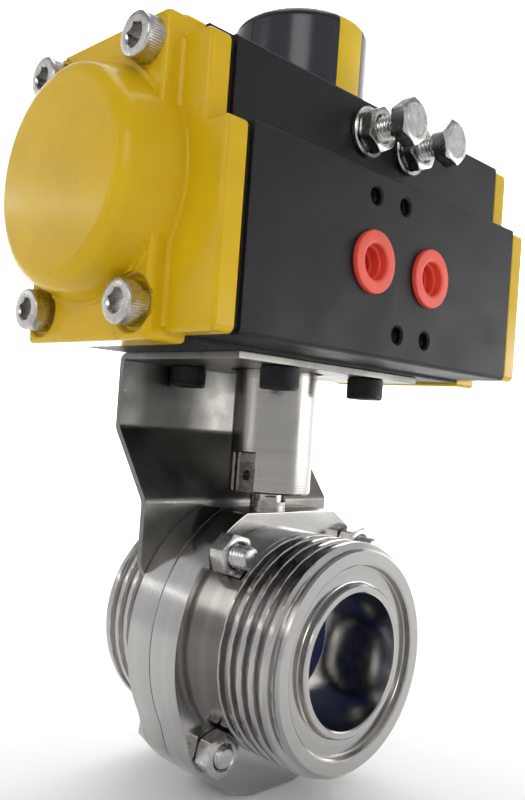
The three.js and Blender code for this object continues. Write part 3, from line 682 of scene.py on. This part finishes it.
def dome_solid(inset, bottom, top):
    """Round cap with a soft top edge, drawn in from the dome's surface by inset."""
    r, round_r = DOME["radius"] - inset, DOME["round"] - inset
    crown = arc(round_r, 0, 90, 8, (r - round_r, top - inset - round_r))
    return turned([(0, bottom), (r, bottom), *crown, (0, top - inset)], "z")


def build_dome(bottom, top):
    """Black dome: hollow below, square socket for the shaft, groove for the stripe, two mould seams."""
    d = DOME
    radius, stripe, seam = d["radius"], d["stripe_half"], d["seam_half"]
    dome = dome_solid(0, bottom, top)
    cut(dome, bar("z", radius - d["wall"], bottom - 1, top - d["roof"], sides=ROUND_SIDES))
    join(dome, bar("z", d["post_r"], bottom + 4, top - 4))
    stripe_groove = block((-stripe, -30, 100), (stripe, 30, 200))
    cut(stripe_groove, dome_solid(d["stripe_depth"] + 0.1, bottom - 5, top))
    half = d["socket_half"]
    socket = block((-half, -half, 140), (half, half, d["socket_top"]))
    tools = [stripe_groove, socket, bar("z", M6["hole"], 150, 180)]
    r, rim_z = d["recess_r"], top - 0.3
    recess = [(0, top - d["recess_depth"]), (r, top - d["recess_depth"]), (r, rim_z)]
    tools.append(turned(recess + [(r + 0.4, top + 0.1), (r + 0.4, 180), (0, 180)], "z"))
    for start, end in ((-radius - 1, -radius + d["seam_depth"]), (radius - d["seam_depth"], radius + 1)):
        tools.append(block((start, -seam, 140), (end, seam, top - 3)))
    stand_for(cut(dome, *tools), "indicator_dome")


def build_stripe(node, side, bottom, top):
    """Yellow strip of the dome's shape lying in its groove, in front of or behind the screw."""
    d = DOME
    half = d["stripe_half"] - d["stripe_play"]
    shell = dome_solid(0, bottom, top)
    inner = dome_solid(d["stripe_depth"] - 0.1, bottom - 5, top)
    near, far = sorted((side * 1.0, side * 30.0))
    window = block((-half, near, 100), (half, far, 200))
    cut(shell, inner)
    strip = common(shell, window)
    stand_for(cut(strip, bar("z", d["recess_r"] + 0.15, 150, 180)), node)


def build_indicator():
    low, high = span("indicator_dome")
    build_dome(low.z, high.z)
    build_stripe("indicator_stripe_front", -1, low.z, high.z)
    build_stripe("indicator_stripe_rear", 1, low.z, high.z)
    seat_z = span("indicator_screw")[1].z - DOME["screw_head"]
    screw = socket_screw(SOCKET_HEAD["radius"], DOME["screw_head"], DOME["screw_key"], DOME["screw_length"])
    stand_for(shifted(screw, (0, 0, seat_z)), "indicator_screw")


# ---- bracket and coupling
def build_bracket():
    """Sheet folded down from the actuator, set forward lower down and cut round the valve hub."""
    low, high = span("mounting_bracket")
    b = BRACKET
    t, half, top, bottom = b["thickness"], high.x, high.z, low.z
    upper_y, lower_y = high.y - t, b["lower_y"]
    upper_bend, lower_bend = b["upper_bend"], b["lower_bend"]
    lean = math.atan2(upper_y - lower_y, upper_bend - lower_bend)
    shift = t * math.tan(lean / 2)
    section = [
        (low.y, top, 0.15),
        (low.y, top - t, 0.15),
        (upper_y, top - t, 0.6),
        (upper_y, upper_bend, 3.0),
        (lower_y, lower_bend, 3.0),
        (lower_y, bottom, 0),
        (lower_y + t, bottom, 0),
        (lower_y + t, lower_bend - shift, 3.0),
        (upper_y + t, upper_bend - shift, 3.0),
        (upper_y + t, top, 2.4),
    ]
    sheet = prism(rounded(section, math.radians(7)), "x", -half, half, 0.15, 2)
    ear, wide, shoulder = b["ear_round"], half + b["shoulder"], b["shoulder_z"]
    view = [(-wide, 90), (-wide, shoulder), (-half, shoulder - b["shoulder"])]
    view += arc(ear, 180, 235, 6, (-half + ear, bottom + ear))
    view += [(-28, bottom - 1), (28, bottom - 1), *arc(ear, -55, 0, 6, (half - ear, bottom + ear))]
    view += [(half, shoulder - b["shoulder"]), (wide, shoulder), (wide, 90)]
    bracket = common(sheet, prism(view, "y", -40, 40))
    tools = [bar("y", b["hub_clear_r"], 0, lower_y + 5, sides=ROUND_SIDES)]
    tools.append(bar("z", b["coupling_clear_r"], 70, 80))
    for side_name in SIDES:
        for face in ("front", "rear"):
            centre = middle(f"bracket_screw_{side_name}_{face}")
            tools.append(bar("z", M6["hole"], 70, 80, (centre.x, centre.y, 0)))
        bolt = middle(f"valve_bolt_{side_name}_upper")
        tools.append(bar("y", M6["hole"], 0, 20, (bolt.x, 0, bolt.z)))
    stand_for(cut(bracket, *tools), "mounting_bracket", angle=28)


def build_bracket_screws():
    low, high = span("bracket_screw_left_front")
    head = SOCKET_HEAD
    template = socket_screw(head["radius"], head["height"], head["key"], high.z - low.z - head["height"])
    for side_name in SIDES:
        for face in ("front", "rear"):
            node = f"bracket_screw_{side_name}_{face}"
            centre = middle(node)
            seat = (centre.x, centre.y, low.z + head["height"])
            stand_for(pointed(copied(template), (0, 0, -1), seat), node)
    bpy.data.objects.remove(template)


def build_coupling():
    """Turned barrel with a square spigot for the actuator and a slot across X for the stem's tang."""
    low, high = span("stem_coupling")
    c = COUPLING
    r, barrel_top, chamfer, square = c["radius"], c["barrel_top"], c["chamfer"], c["spigot_half"]
    profile = [
        (0, low.z), (r - chamfer, low.z), (r, low.z + chamfer),
        (r, barrel_top - chamfer), (r - chamfer, barrel_top), (0, barrel_top),
    ]
    barrel = turned(profile, "z")
    spigot = block((-square, -square, barrel_top - 1), (square, square, high.z), 0.4)
    slot = block((-20, -c["slot_half"], low.z - 1), (20, c["slot_half"], c["slot_top"]))
    stand_for(cut(join(barrel, spigot), slot), "stem_coupling")


# ---- valve
def build_disc_and_stem():
    """Disc facing X, its hub and the stem up to the flat tang that the coupling turns."""
    low, high = span("disc_and_stem")
    r, d = high.y, DISC
    face, rim, slope, boss = d["half"], d["rim_half"], d["rim_slope"], d["boss_r"]
    near = [(0, -face), (boss, 0.05 - face), (r - 0.8, -slope), (r - 0.2, -rim)]
    body = turned(near + [(r, 0)] + [(radius, -x) for radius, x in reversed(near)], "x")
    hub_r = d["hub_r"]
    lower = [(0, 1.2 - r), (hub_r - 0.2, 1.4 - r), (hub_r, 2.2 - r)]
    hub = turned(lower + [(radius, -z) for radius, z in reversed(lower)], "z", sides=96)
    stem_r, tang_bottom = STEM["radius"], STEM["tang_bottom"]
    half, reach = STEM["tang_half"], STEM["tang_reach"]
    profile = [(0, low.z), (stem_r - 0.5, low.z), (stem_r, low.z + 0.5)]
    shaft = turned(profile + [(stem_r, tang_bottom), (0, tang_bottom)], "z", sides=96)
    tang = block((-reach, -half, tang_bottom - 0.1), (reach, half, high.z), 0.35)
    piece = join(body, hub, shaft, tang)
    cross = bar("x", STEM["hole"], -20, -4, (0, 0, STEM["hole_z"]), sides=48)
    stand_for(cut(piece, cross), "disc_and_stem")


def flange_outline(low_z):
    """Round flange with a chord across the top, swelling to a slightly larger, flat-bottomed foot."""
    v = VALVE
    radius, foot, start, full = v["flange_r"], v["foot_r"], v["foot_from"], v["foot_full"]
    chord = math.degrees(math.asin(v["flat_z"] / radius))
    toe = math.degrees(math.acos(low_z / -foot))
    left = arc(radius, 180 - chord, start, 50)
    steps = 10
    for k in range(1, steps):
        part = k / steps
        swollen = radius + (foot - radius) * part * part * (3 - 2 * part)
        angle = math.radians(start + (full - start) * part)
        left.append((swollen * math.cos(angle), swollen * math.sin(angle)))
    left += arc(foot, full, 270 - toe, 24)
    return left + [(-x, z) for x, z in reversed(left)]


def union_profile(hub_start, end_y):
    """Bore-to-rim outline of one union end, along +Y; the thread region is shaped by union_radius."""
    v = VALVE
    rows = 140
    thread_from, thread_to = v["hub_end"], end_y - 0.5
    points = [(v["bore"], hub_start), (v["hub_r"], hub_start)]
    points += [(v["root_r"], thread_from + (thread_to - thread_from) * i / rows) for i in range(rows + 1)]
    points += [(v["face_r"] - 0.5, end_y)]
    outer, inner, corner, edge = v["groove_outer"], v["groove_inner"], 0.5, 0.3
    corner_y = end_y - v["groove_depth"] + corner
    points += [(outer + 0.2, end_y), (outer - 0.15, end_y - 0.25)]
    points += arc(corner, 0, -90, 3, (outer - 0.8, corner_y))
    points += arc(corner, -90, -180, 3, (inner + 0.65, corner_y))
    points += [(inner, end_y - edge), (inner - edge, end_y), (v["bore"] + edge, end_y)]
    points += [(v["bore"], end_y - edge)]
    return points


def union_radius(end_y):
    """Rounded thread of the union end, running out at the rim and meeting the hub at its foot."""
    v = VALVE
    level, swing, foot_length, run_out_length, rim_gap = 0.62, 0.72, 1.2, 1.6, 0.5

    def radius_at(angle, radius, along):
        if abs(radius - v["root_r"]) > 0.01 or along < v["hub_end"] - 0.01:
            return radius
        phase = (along - v["hub_end"]) / v["pitch"] + angle / TAU + v["phase"]
        wave = min(1.0, max(0.0, level + swing * math.cos(TAU * phase)))
        wave = wave * wave * (3 - 2 * wave)
        foot = max(0.0, 1 - (along - v["hub_end"]) / foot_length)
        height = max(wave, foot)
        run_out = min(1.0, max(0.0, (end_y - rim_gap - along) / run_out_length))
        rim = v["face_r"] - v["root_r"]
        return v["root_r"] + (v["crest_r"] - v["root_r"]) * height * run_out + rim * (1 - run_out)

    return radius_at


def build_valve_half(node, side):
    """One valve half, modelled along +Y and mirrored for the front one."""
    v = VALVE
    low, high = span(node)
    end_y = max(abs(low.y), abs(high.y))
    flange_y = v["front_flange"] if side < 0 else v["rear_flange"]
    seam, bolt_hole_r, upper_play, lower_play = 0.06, 3.25, 1.3, 0.9
    flange = prism(flange_outline(low.z), "y", seam, flange_y, 0.3, 2)
    hub = turned(union_profile(2.0, end_y), "y", radius_at=union_radius(end_y), sides=216)
    bore = bar("y", v["bore"] + 0.02, -1, flange_y + 2, sides=ROUND_SIDES)
    seat = bar("y", v["seal_r"], -1, v["seal_half"], sides=ROUND_SIDES)
    half = join(flange, hub)
    tools = [seat, bore]
    for side_name in SIDES:
        for level in ("upper", "lower"):
            bolt = middle(f"valve_bolt_{side_name}_{level}")
            tools.append(bar("y", bolt_hole_r, -1, 20, (bolt.x, 0, bolt.z)))
    tools.append(bar("z", STEM["radius"] + upper_play, 20, 60))
    tools.append(bar("z", STEM["radius"] + lower_play, -28, 0))
    cut(half, *tools)
    if side < 0:
        moved(half, Matrix.Scale(-1, 4, Vector((0, 1, 0))))
    stand_for(half, node, angle=30)


def build_seal():
    """Blue seat ring, a little wider than the bore, with holes for the stem."""
    high = span("seat_seal")[1]
    inner, outer, half = VALVE["bore"] + 0.08, high.x, high.y
    profile = [(inner + 0.15, -half), (inner, -half + 0.3), (inner, half - 0.3), (inner + 0.15, half)]
    profile += [(outer, half), (outer, -half)]
    seal = turned(profile, "y")
    stand_for(cut(seal, bar("z", STEM["radius"] + 0.3, -30, 30)), "seat_seal")


def build_upper_bush():
    """Thin bush round the stem, its top ring notched four times."""
    low, high = span("upper_stem_bush")
    outer = (high.x - low.x) / 2
    inner = outer - 0.8
    ring = [(inner, low.z), (outer, low.z), (outer, high.z - 0.3), (outer - 0.3, high.z)]
    ring += [(inner + 0.2, high.z), (inner, high.z - 0.2)]
    bush = turned(ring, "z", sides=96)
    notches, half_width, depth, first_deg = [], 2.2, 1.7, 8
    for k in range(4):
        notch = block((3, -half_width, high.z - depth), (8, half_width, high.z + 1))
        notches.append(moved(notch, Matrix.Rotation(math.radians(first_deg + 90 * k), 4, "Z")))
    stand_for(cut(bush, *notches), "upper_stem_bush")


def build_valve_bolts():
    across, head_height = HEX["across"], HEX["head"]
    for side_name in SIDES:
        for level in ("upper", "lower"):
            nut_node = f"valve_nut_{side_name}_{level}"
            bolt_node = f"valve_bolt_{side_name}_{level}"
            nut_low, nut_high = span(nut_node)
            bolt_low, bolt_high = span(bolt_node)
            centre = middle(bolt_node)
            turn = 15 if centre.x * centre.z > 0 else -15
            nut = hex_nut(across, nut_high.y - nut_low.y, turn)
            stand_for(pointed(nut, (0, -1, 0), (centre.x, nut_high.y, centre.z)), nut_node)
            seat = bolt_high.y - head_height
            bolt = hex_bolt(across, head_height, seat - bolt_low.y, -turn)
            stand_for(pointed(bolt, (0, 1, 0), (centre.x, seat, centre.z)), bolt_node)


# ---- finishes
class Tree:
    """Small helper that adds and links the nodes of one material."""

    def __init__(self, name):
        self.material = bpy.data.materials.new(name)
        self.material.use_nodes = True
        self.nodes = self.material.node_tree.nodes
        self.links = self.material.node_tree.links
        self.shader = self.nodes["Principled BSDF"]
        self.place = self.add("ShaderNodeTexCoord").outputs["Object"]

    def add(self, kind, inputs=None, **settings):
        node = self.nodes.new(kind)
        for key, value in settings.items():
            setattr(node, key, value)
        for key, value in (inputs or {}).items():
            if isinstance(value, bpy.types.NodeSocket):
                self.links.new(value, node.inputs[key])
            else:
                node.inputs[key].default_value = value
        return node

    def set(self, **values):
        for key, value in values.items():
            socket = self.shader.inputs[key.replace("_", " ")]
            if isinstance(value, bpy.types.NodeSocket):
                self.links.new(value, socket)
            else:
                socket.default_value = value

    def noise(self, scale, detail=3.0, roughness=0.55, place=None):
        inputs = {"Vector": place or self.place, "Scale": scale, "Detail": detail, "Roughness": roughness}
        return self.add("ShaderNodeTexNoise", inputs).outputs["Fac"]

    def map(self, value, from_low, from_high, to_low, to_high):
        inputs = {"Value": value, "From Min": from_low, "From Max": from_high}
        inputs.update({"To Min": to_low, "To Max": to_high})
        return self.add("ShaderNodeMapRange", inputs).outputs["Result"]

    def stretched(self, factors):
        node = self.add("ShaderNodeVectorMath", {0: self.place, 1: factors}, operation="MULTIPLY")
        return node.outputs["Vector"]

    def mixed(self, factor, first, second):
        node = self.add("ShaderNodeMix", data_type="RGBA")
        self.links.new(factor, node.inputs["Factor"])
        for socket, value in ((node.inputs[6], first), (node.inputs[7], second)):
            if isinstance(value, bpy.types.NodeSocket):
                self.links.new(value, socket)
            else:
                socket.default_value = value
        return node.outputs[2]

    def bump(self, height, strength, distance):
        inputs = {"Height": height, "Strength": strength, "Distance": distance}
        return self.add("ShaderNodeBump", inputs).outputs["Normal"]


def rgb(red, green, blue):
    """Display colour out of 255 as a linear colour."""
    linear = []
    for value in (red, green, blue):
        v = value / 255
        linear.append(v / 12.92 if v <= 0.04045 else ((v + 0.055) / 1.055) ** 2.4)
    return (*linear, 1.0)


def shade_of(colour, factor):
    return (*(min(1.0, c * factor) for c in colour[:3]), 1.0)


def glossy_paint(t, colour):
    """Sprayed gloss paint: orange peel, faint mottling, a few dark dust specks."""
    cloud = t.map(t.noise(60, 4), 0.35, 0.65, 0, 1)
    base = t.mixed(cloud, shade_of(colour, 0.93), shade_of(colour, 1.04))
    specks = t.map(t.noise(950, 1.0, 0.4), 0.80, 0.83, 0, 1)
    base = t.mixed(specks, base, shade_of(colour, 0.25))
    peel = t.noise(420, 2.0)
    t.set(
        Base_Color=base,
        Roughness=t.map(t.noise(130, 3), 0.3, 0.7, 0.14, 0.24),
        Specular_IOR_Level=0.22,
        Coat_Weight=0.04,
        Coat_Roughness=0.06,
        Normal=t.bump(peel, 0.05, 0.0006),
    )


def anodised(t, colour):
    """Bead-blasted, black anodised aluminium with fine grain and faint handling marks."""
    grain = t.noise(3200, 2.0, 0.7)
    cloud = t.map(t.noise(45, 5, 0.6), 0.35, 0.7, 0, 1)
    base = t.mixed(cloud, shade_of(colour, 0.88), shade_of(colour, 1.15))
    dust = t.map(t.noise(2200, 2.0, 0.6), 0.66, 0.74, 0, 0.35)
    base = t.mixed(dust, base, shade_of(colour, 3.0))
    t.set(
        Base_Color=base,
        Metallic=0.3,
        Specular_IOR_Level=0.3,
        Roughness=t.map(t.noise(80, 4), 0.3, 0.7, 0.42, 0.54),
        Normal=t.bump(grain, 0.16, 0.0004),
    )


def lathe_turned(t, colour, axis, low_rough=0.14, high_rough=0.3, bore=None):
    """Steel turned on a lathe with fine rings about the axis; if a bore radius is given, the surface inside
    it gets a lighter base colour, a painted highlight for light reaching down the bore.
    """
    parts = t.add("ShaderNodeSeparateXYZ", {"Vector": t.place}).outputs
    across, along = {"Y": (("X", "Z"), "Y"), "Z": (("X", "Y"), "Z")}[axis]
    flat = t.add("ShaderNodeCombineXYZ", {"X": parts[across[0]], "Y": parts[across[1]]}).outputs["Vector"]
    radius = t.add("ShaderNodeVectorMath", {0: flat}, operation="LENGTH").outputs["Value"]
    ring_place = t.add("ShaderNodeCombineXYZ", {"X": radius, "Y": parts[along]}).outputs["Vector"]
    rings = t.noise(1700, 4.0, 0.7, ring_place)
    bands = t.noise(260, 3.0, 0.6, ring_place)
    smudge = t.noise(70, 4.0, 0.6)
    tone = t.map(bands, 0.3, 0.7, 0, 1)
    base = t.mixed(tone, shade_of(colour, 0.9), shade_of(colour, 1.08))
    if bore is not None:
        # Painted light: surfaces within the bore radius get a lighter base colour, standing in for light
        # reaching down the bore.
        painted_bore_light = t.map(radius, bore + 0.1 * MM, bore + 0.4 * MM, 1, 0)
        base = t.mixed(painted_bore_light, base, shade_of(colour, 1.7))
    t.set(
        Base_Color=base,
        Metallic=1.0,
        Roughness=t.map(smudge, 0.3, 0.7, low_rough, high_rough),
        Anisotropic=0.55,
        Normal=t.bump(rings, 0.12, 0.00012),
    )
    tangent = t.add("ShaderNodeTangent", direction_type="RADIAL", axis=axis)
    t.links.new(tangent.outputs["Tangent"], t.shader.inputs["Tangent"])


def brushed_sheet(t, colour):
    """Rolled sheet steel with grain along X, faint stains and small scratches."""
    grain = t.noise(1.0, 5.0, 0.65, t.stretched((60, 1600, 1600)))
    stains = t.map(t.noise(38, 5.0, 0.62), 0.38, 0.62, 0, 1)
    base = t.mixed(stains, shade_of(colour, 0.72), shade_of(colour, 1.1))
    scratches = t.map(t.noise(1.0, 2.0, 0.5, t.stretched((300, 2400, 500))), 0.68, 0.74, 0, 0.5)
    base = t.mixed(scratches, base, shade_of(colour, 1.5))
    t.set(
        Base_Color=base,
        Metallic=1.0,
        Roughness=t.map(t.noise(120, 4.0), 0.3, 0.7, 0.28, 0.44),
        Anisotropic=0.3,
        Normal=t.bump(grain, 0.14, 0.0002),
    )


def fastener_steel(t, colour):
    """Cold-headed stainless fastener: bright, lightly pitted and scuffed."""
    pits = t.noise(1500, 4.0, 0.65)
    tone = t.map(t.noise(500, 3.0), 0.3, 0.7, 0, 1)
    base = t.mixed(tone, shade_of(colour, 0.82), shade_of(colour, 1.08))
    t.set(
        Base_Color=base,
        Metallic=1.0,
        Roughness=t.map(t.noise(350, 3.0), 0.3, 0.7, 0.16, 0.34),
        Normal=t.bump(pits, 0.12, 0.0002),
    )


def black_oxide(t, colour):
    """Blackened steel screw: mottled, with a slight metallic sheen."""
    tone = t.map(t.noise(420, 4.0, 0.6), 0.3, 0.7, 0, 1)
    t.set(
        Base_Color=t.mixed(tone, shade_of(colour, 0.7), shade_of(colour, 1.4)),
        Metallic=0.55,
        Roughness=t.map(t.noise(260, 3.0), 0.3, 0.7, 0.34, 0.52),
        Normal=t.bump(t.noise(2200, 3.0), 0.15, 0.0002),
    )


def moulded(t, colour, rough, grain_scale=900, grain_strength=0.05, dust=0.0):
    """Moulded plastic or rubber with a faint surface texture and slight tone changes."""
    tone = t.map(t.noise(90, 4.0), 0.3, 0.7, 0, 1)
    base = t.mixed(tone, shade_of(colour, 0.92), shade_of(colour, 1.06))
    if dust:
        specks = t.map(t.noise(1400, 2.0, 0.5), 0.7, 0.76, 0, dust)
        base = t.mixed(specks, base, shade_of(colour, 3.5))
    t.set(
        Base_Color=base,
        Roughness=t.map(t.noise(150, 3.0), 0.3, 0.7, rough * 0.85, rough * 1.15),
        Normal=t.bump(t.noise(grain_scale, 3.0), grain_strength, 0.0003),
    )


def cast_metal(t, colour):
    """Cast aluminium with a coarse skin."""
    tone = t.map(t.noise(120, 5.0, 0.6), 0.3, 0.7, 0, 1)
    t.set(
        Base_Color=t.mixed(tone, shade_of(colour, 0.85), shade_of(colour, 1.08)),
        Metallic=1.0,
        Roughness=t.map(t.noise(200, 3.0), 0.3, 0.7, 0.34, 0.5),
        Normal=t.bump(t.noise(1300, 4.0, 0.65), 0.2, 0.0004),
    )


def floor_paper(t, colour):
    t.set(Base_Color=colour, Roughness=0.9, Normal=t.bump(t.noise(300, 2.0), 0.01, 0.0002))


STEEL = rgb(178, 176, 173)
FINISHES = {
    "yellow_paint": lambda t: glossy_paint(t, rgb(216, 176, 20)),
    "black_anodised": lambda t: anodised(t, rgb(22, 23, 26)),
    "polished_steel": lambda t: fastener_steel(t, rgb(196, 194, 191)),
    "turned_steel": lambda t: lathe_turned(t, rgb(168, 165, 160), "Z"),
    "valve_steel": lambda t: lathe_turned(t, STEEL, "Y", 0.08, 0.2, bore=VALVE["bore"] * MM),
    "sheet_steel": lambda t: brushed_sheet(t, rgb(138, 136, 131)),
    "cast_aluminium": lambda t: cast_metal(t, rgb(178, 180, 182)),
    "black_oxide": lambda t: black_oxide(t, rgb(30, 30, 33)),
    "black_rubber": lambda t: moulded(t, rgb(26, 26, 28), 0.6, 700, 0.12),
    "blue_seal": lambda t: moulded(t, rgb(14, 38, 96), 0.5, 500, 0.05),
    "red_plastic": lambda t: moulded(t, rgb(232, 78, 58), 0.46, 600, 0.05),
    "black_plastic": lambda t: moulded(t, rgb(30, 32, 40), 0.2, 500, 0.02, 0.15),
    "yellow_plastic": lambda t: moulded(t, rgb(228, 190, 18), 0.4, 700, 0.05),
    "white_plastic": lambda t: moulded(t, rgb(222, 220, 212), 0.45),
    "floor_paper": lambda t: floor_paper(t, rgb(243, 243, 243)),
}
FINISH_OF_NODE = {"front_valve_body": "valve_steel", "rear_valve_body": "valve_steel"}
made_finishes = {}


def finish(name):
    """The material of a finish, made the first time it is asked for."""
    if name not in made_finishes:
        tree = Tree(name)
        FINISHES[name](tree)
        made_finishes[name] = tree.material
    return made_finishes[name]


def finish_for(node):
    return finish(FINISH_OF_NODE.get(node, SLOT_OF[node]))


def finish_plain_nodes():
    """Gives every CAD node that stays in view its procedural finish."""
    for node, obj in frame["nodes"].items():
        for material_slot in obj.material_slots:
            material_slot.material = finish_for(node)


# ---- studio
def add_camera():
    c = CAMERA
    azimuth, elevation, roll = (math.radians(c[key]) for key in ("azimuth", "elevation", "roll"))
    back = Vector((
        math.sin(azimuth) * math.cos(elevation),
        -math.cos(azimuth) * math.cos(elevation),
        math.sin(elevation),
    ))
    right = (-back).cross(Vector((0, 0, 1))).normalized()
    up = right.cross(-back)
    rolled_right = right * math.cos(roll) + up * math.sin(roll)
    rolled_up = up * math.cos(roll) - right * math.sin(roll)
    data = bpy.data.cameras.new("camera")
    data.sensor_width = 36.0
    data.lens = c["lens"]
    data.shift_x, data.shift_y = c["shift"]
    data.clip_start = 0.01
    camera = new_object("camera", data)
    rotation = Matrix((rolled_right, rolled_up, back)).transposed().to_4x4()
    place = (Vector(c["target"]) + back * c["distance"]) * MM
    camera.matrix_world = Matrix.Translation(place) @ rotation
    bpy.context.scene.camera = camera


def add_floor():
    """Round pale floor that curves up into a low wall all round."""
    floor_z = CAD_BOX[0][2] / MM - 0.3
    radius, bend, wall, thick = 1500.0, 700.0, 900.0, 20.0
    top, outer = floor_z + bend + wall, radius + bend + thick
    profile = [(0, floor_z), (radius, floor_z), *arc(bend, 270, 360, 16, (radius, floor_z + bend))]
    profile += [(radius + bend, top), (outer, top), (outer, floor_z - thick), (0, floor_z - thick)]
    floor = turned(profile, "z", sides=96)
    floor.name = "floor"
    floor.data.shade_smooth()
    floor.data.set_sharp_from_angle(angle=math.radians(40))
    floor.data.materials.append(finish("floor_paper"))


def add_light(name, location, target, size, power):
    """White rectangular area light; its places and sizes are in metres."""
    data = bpy.data.lights.new(name, "AREA")
    data.shape = "RECTANGLE"
    data.size, data.size_y = size
    data.energy = power
    light = new_object(name, data)
    place = Vector(location)
    turn = (place - Vector(target)).to_track_quat("Z", "Y").to_matrix().to_4x4()
    light.matrix_world = Matrix.Translation(place) @ turn


def add_studio():
    """Pale world, a key light, reflection panels for the steel, and a light on the backdrop."""
    scene = bpy.context.scene
    scene.view_settings.view_transform = "Standard"
    world = bpy.data.worlds.new("studio")
    world.use_nodes = True
    background = world.node_tree.nodes["Background"]
    background.inputs["Color"].default_value = (0.97, 0.98, 1.0, 1.0)
    background.inputs["Strength"].default_value = 0.36
    scene.world = world
    centre = (0.0, 0.0, 0.06)
    add_light("key", (-0.80, -0.74, 0.58), centre, (0.55, 0.45), 2.2)
    add_light("front_panel", (0.95, -0.75, 0.10), (0.0, 0.0, 0.0), (0.9, 0.25), 3.0)
    add_light("left_strip", (-1.0, 0.35, 0.2), centre, (0.25, 0.9), 0.6)
    add_light("window", (-0.62, 0.77, 0.33), (0.0, 0.0, 0.05), (0.45, 0.016), 0.13)
    add_light("top", (0.1, 0.1, 1.1), centre, (0.7, 0.7), 2.6)
    behind = (1.6, 1.6, 0.2)
    add_light("backdrop", (0.55, 0.55, 1.3), behind, (1.2, 0.6), 60.0)


def build_object():
    build_actuator_body()
    for side_name, side in SIDES.items():
        build_end_cap(side_name + "_end_cap", side)
        build_stop_set(side_name)
        build_port_plug(side_name + "_port_plug")
    build_cap_screws()
    build_indicator()
    build_bracket()
    build_bracket_screws()
    build_coupling()
    build_disc_and_stem()
    build_valve_half("front_valve_body", -1)
    build_valve_half("rear_valve_body", 1)
    build_seal()
    build_upper_bush()
    build_valve_bolts()
    finish_plain_nodes()


build_object()
add_camera()
add_floor()
add_studio()
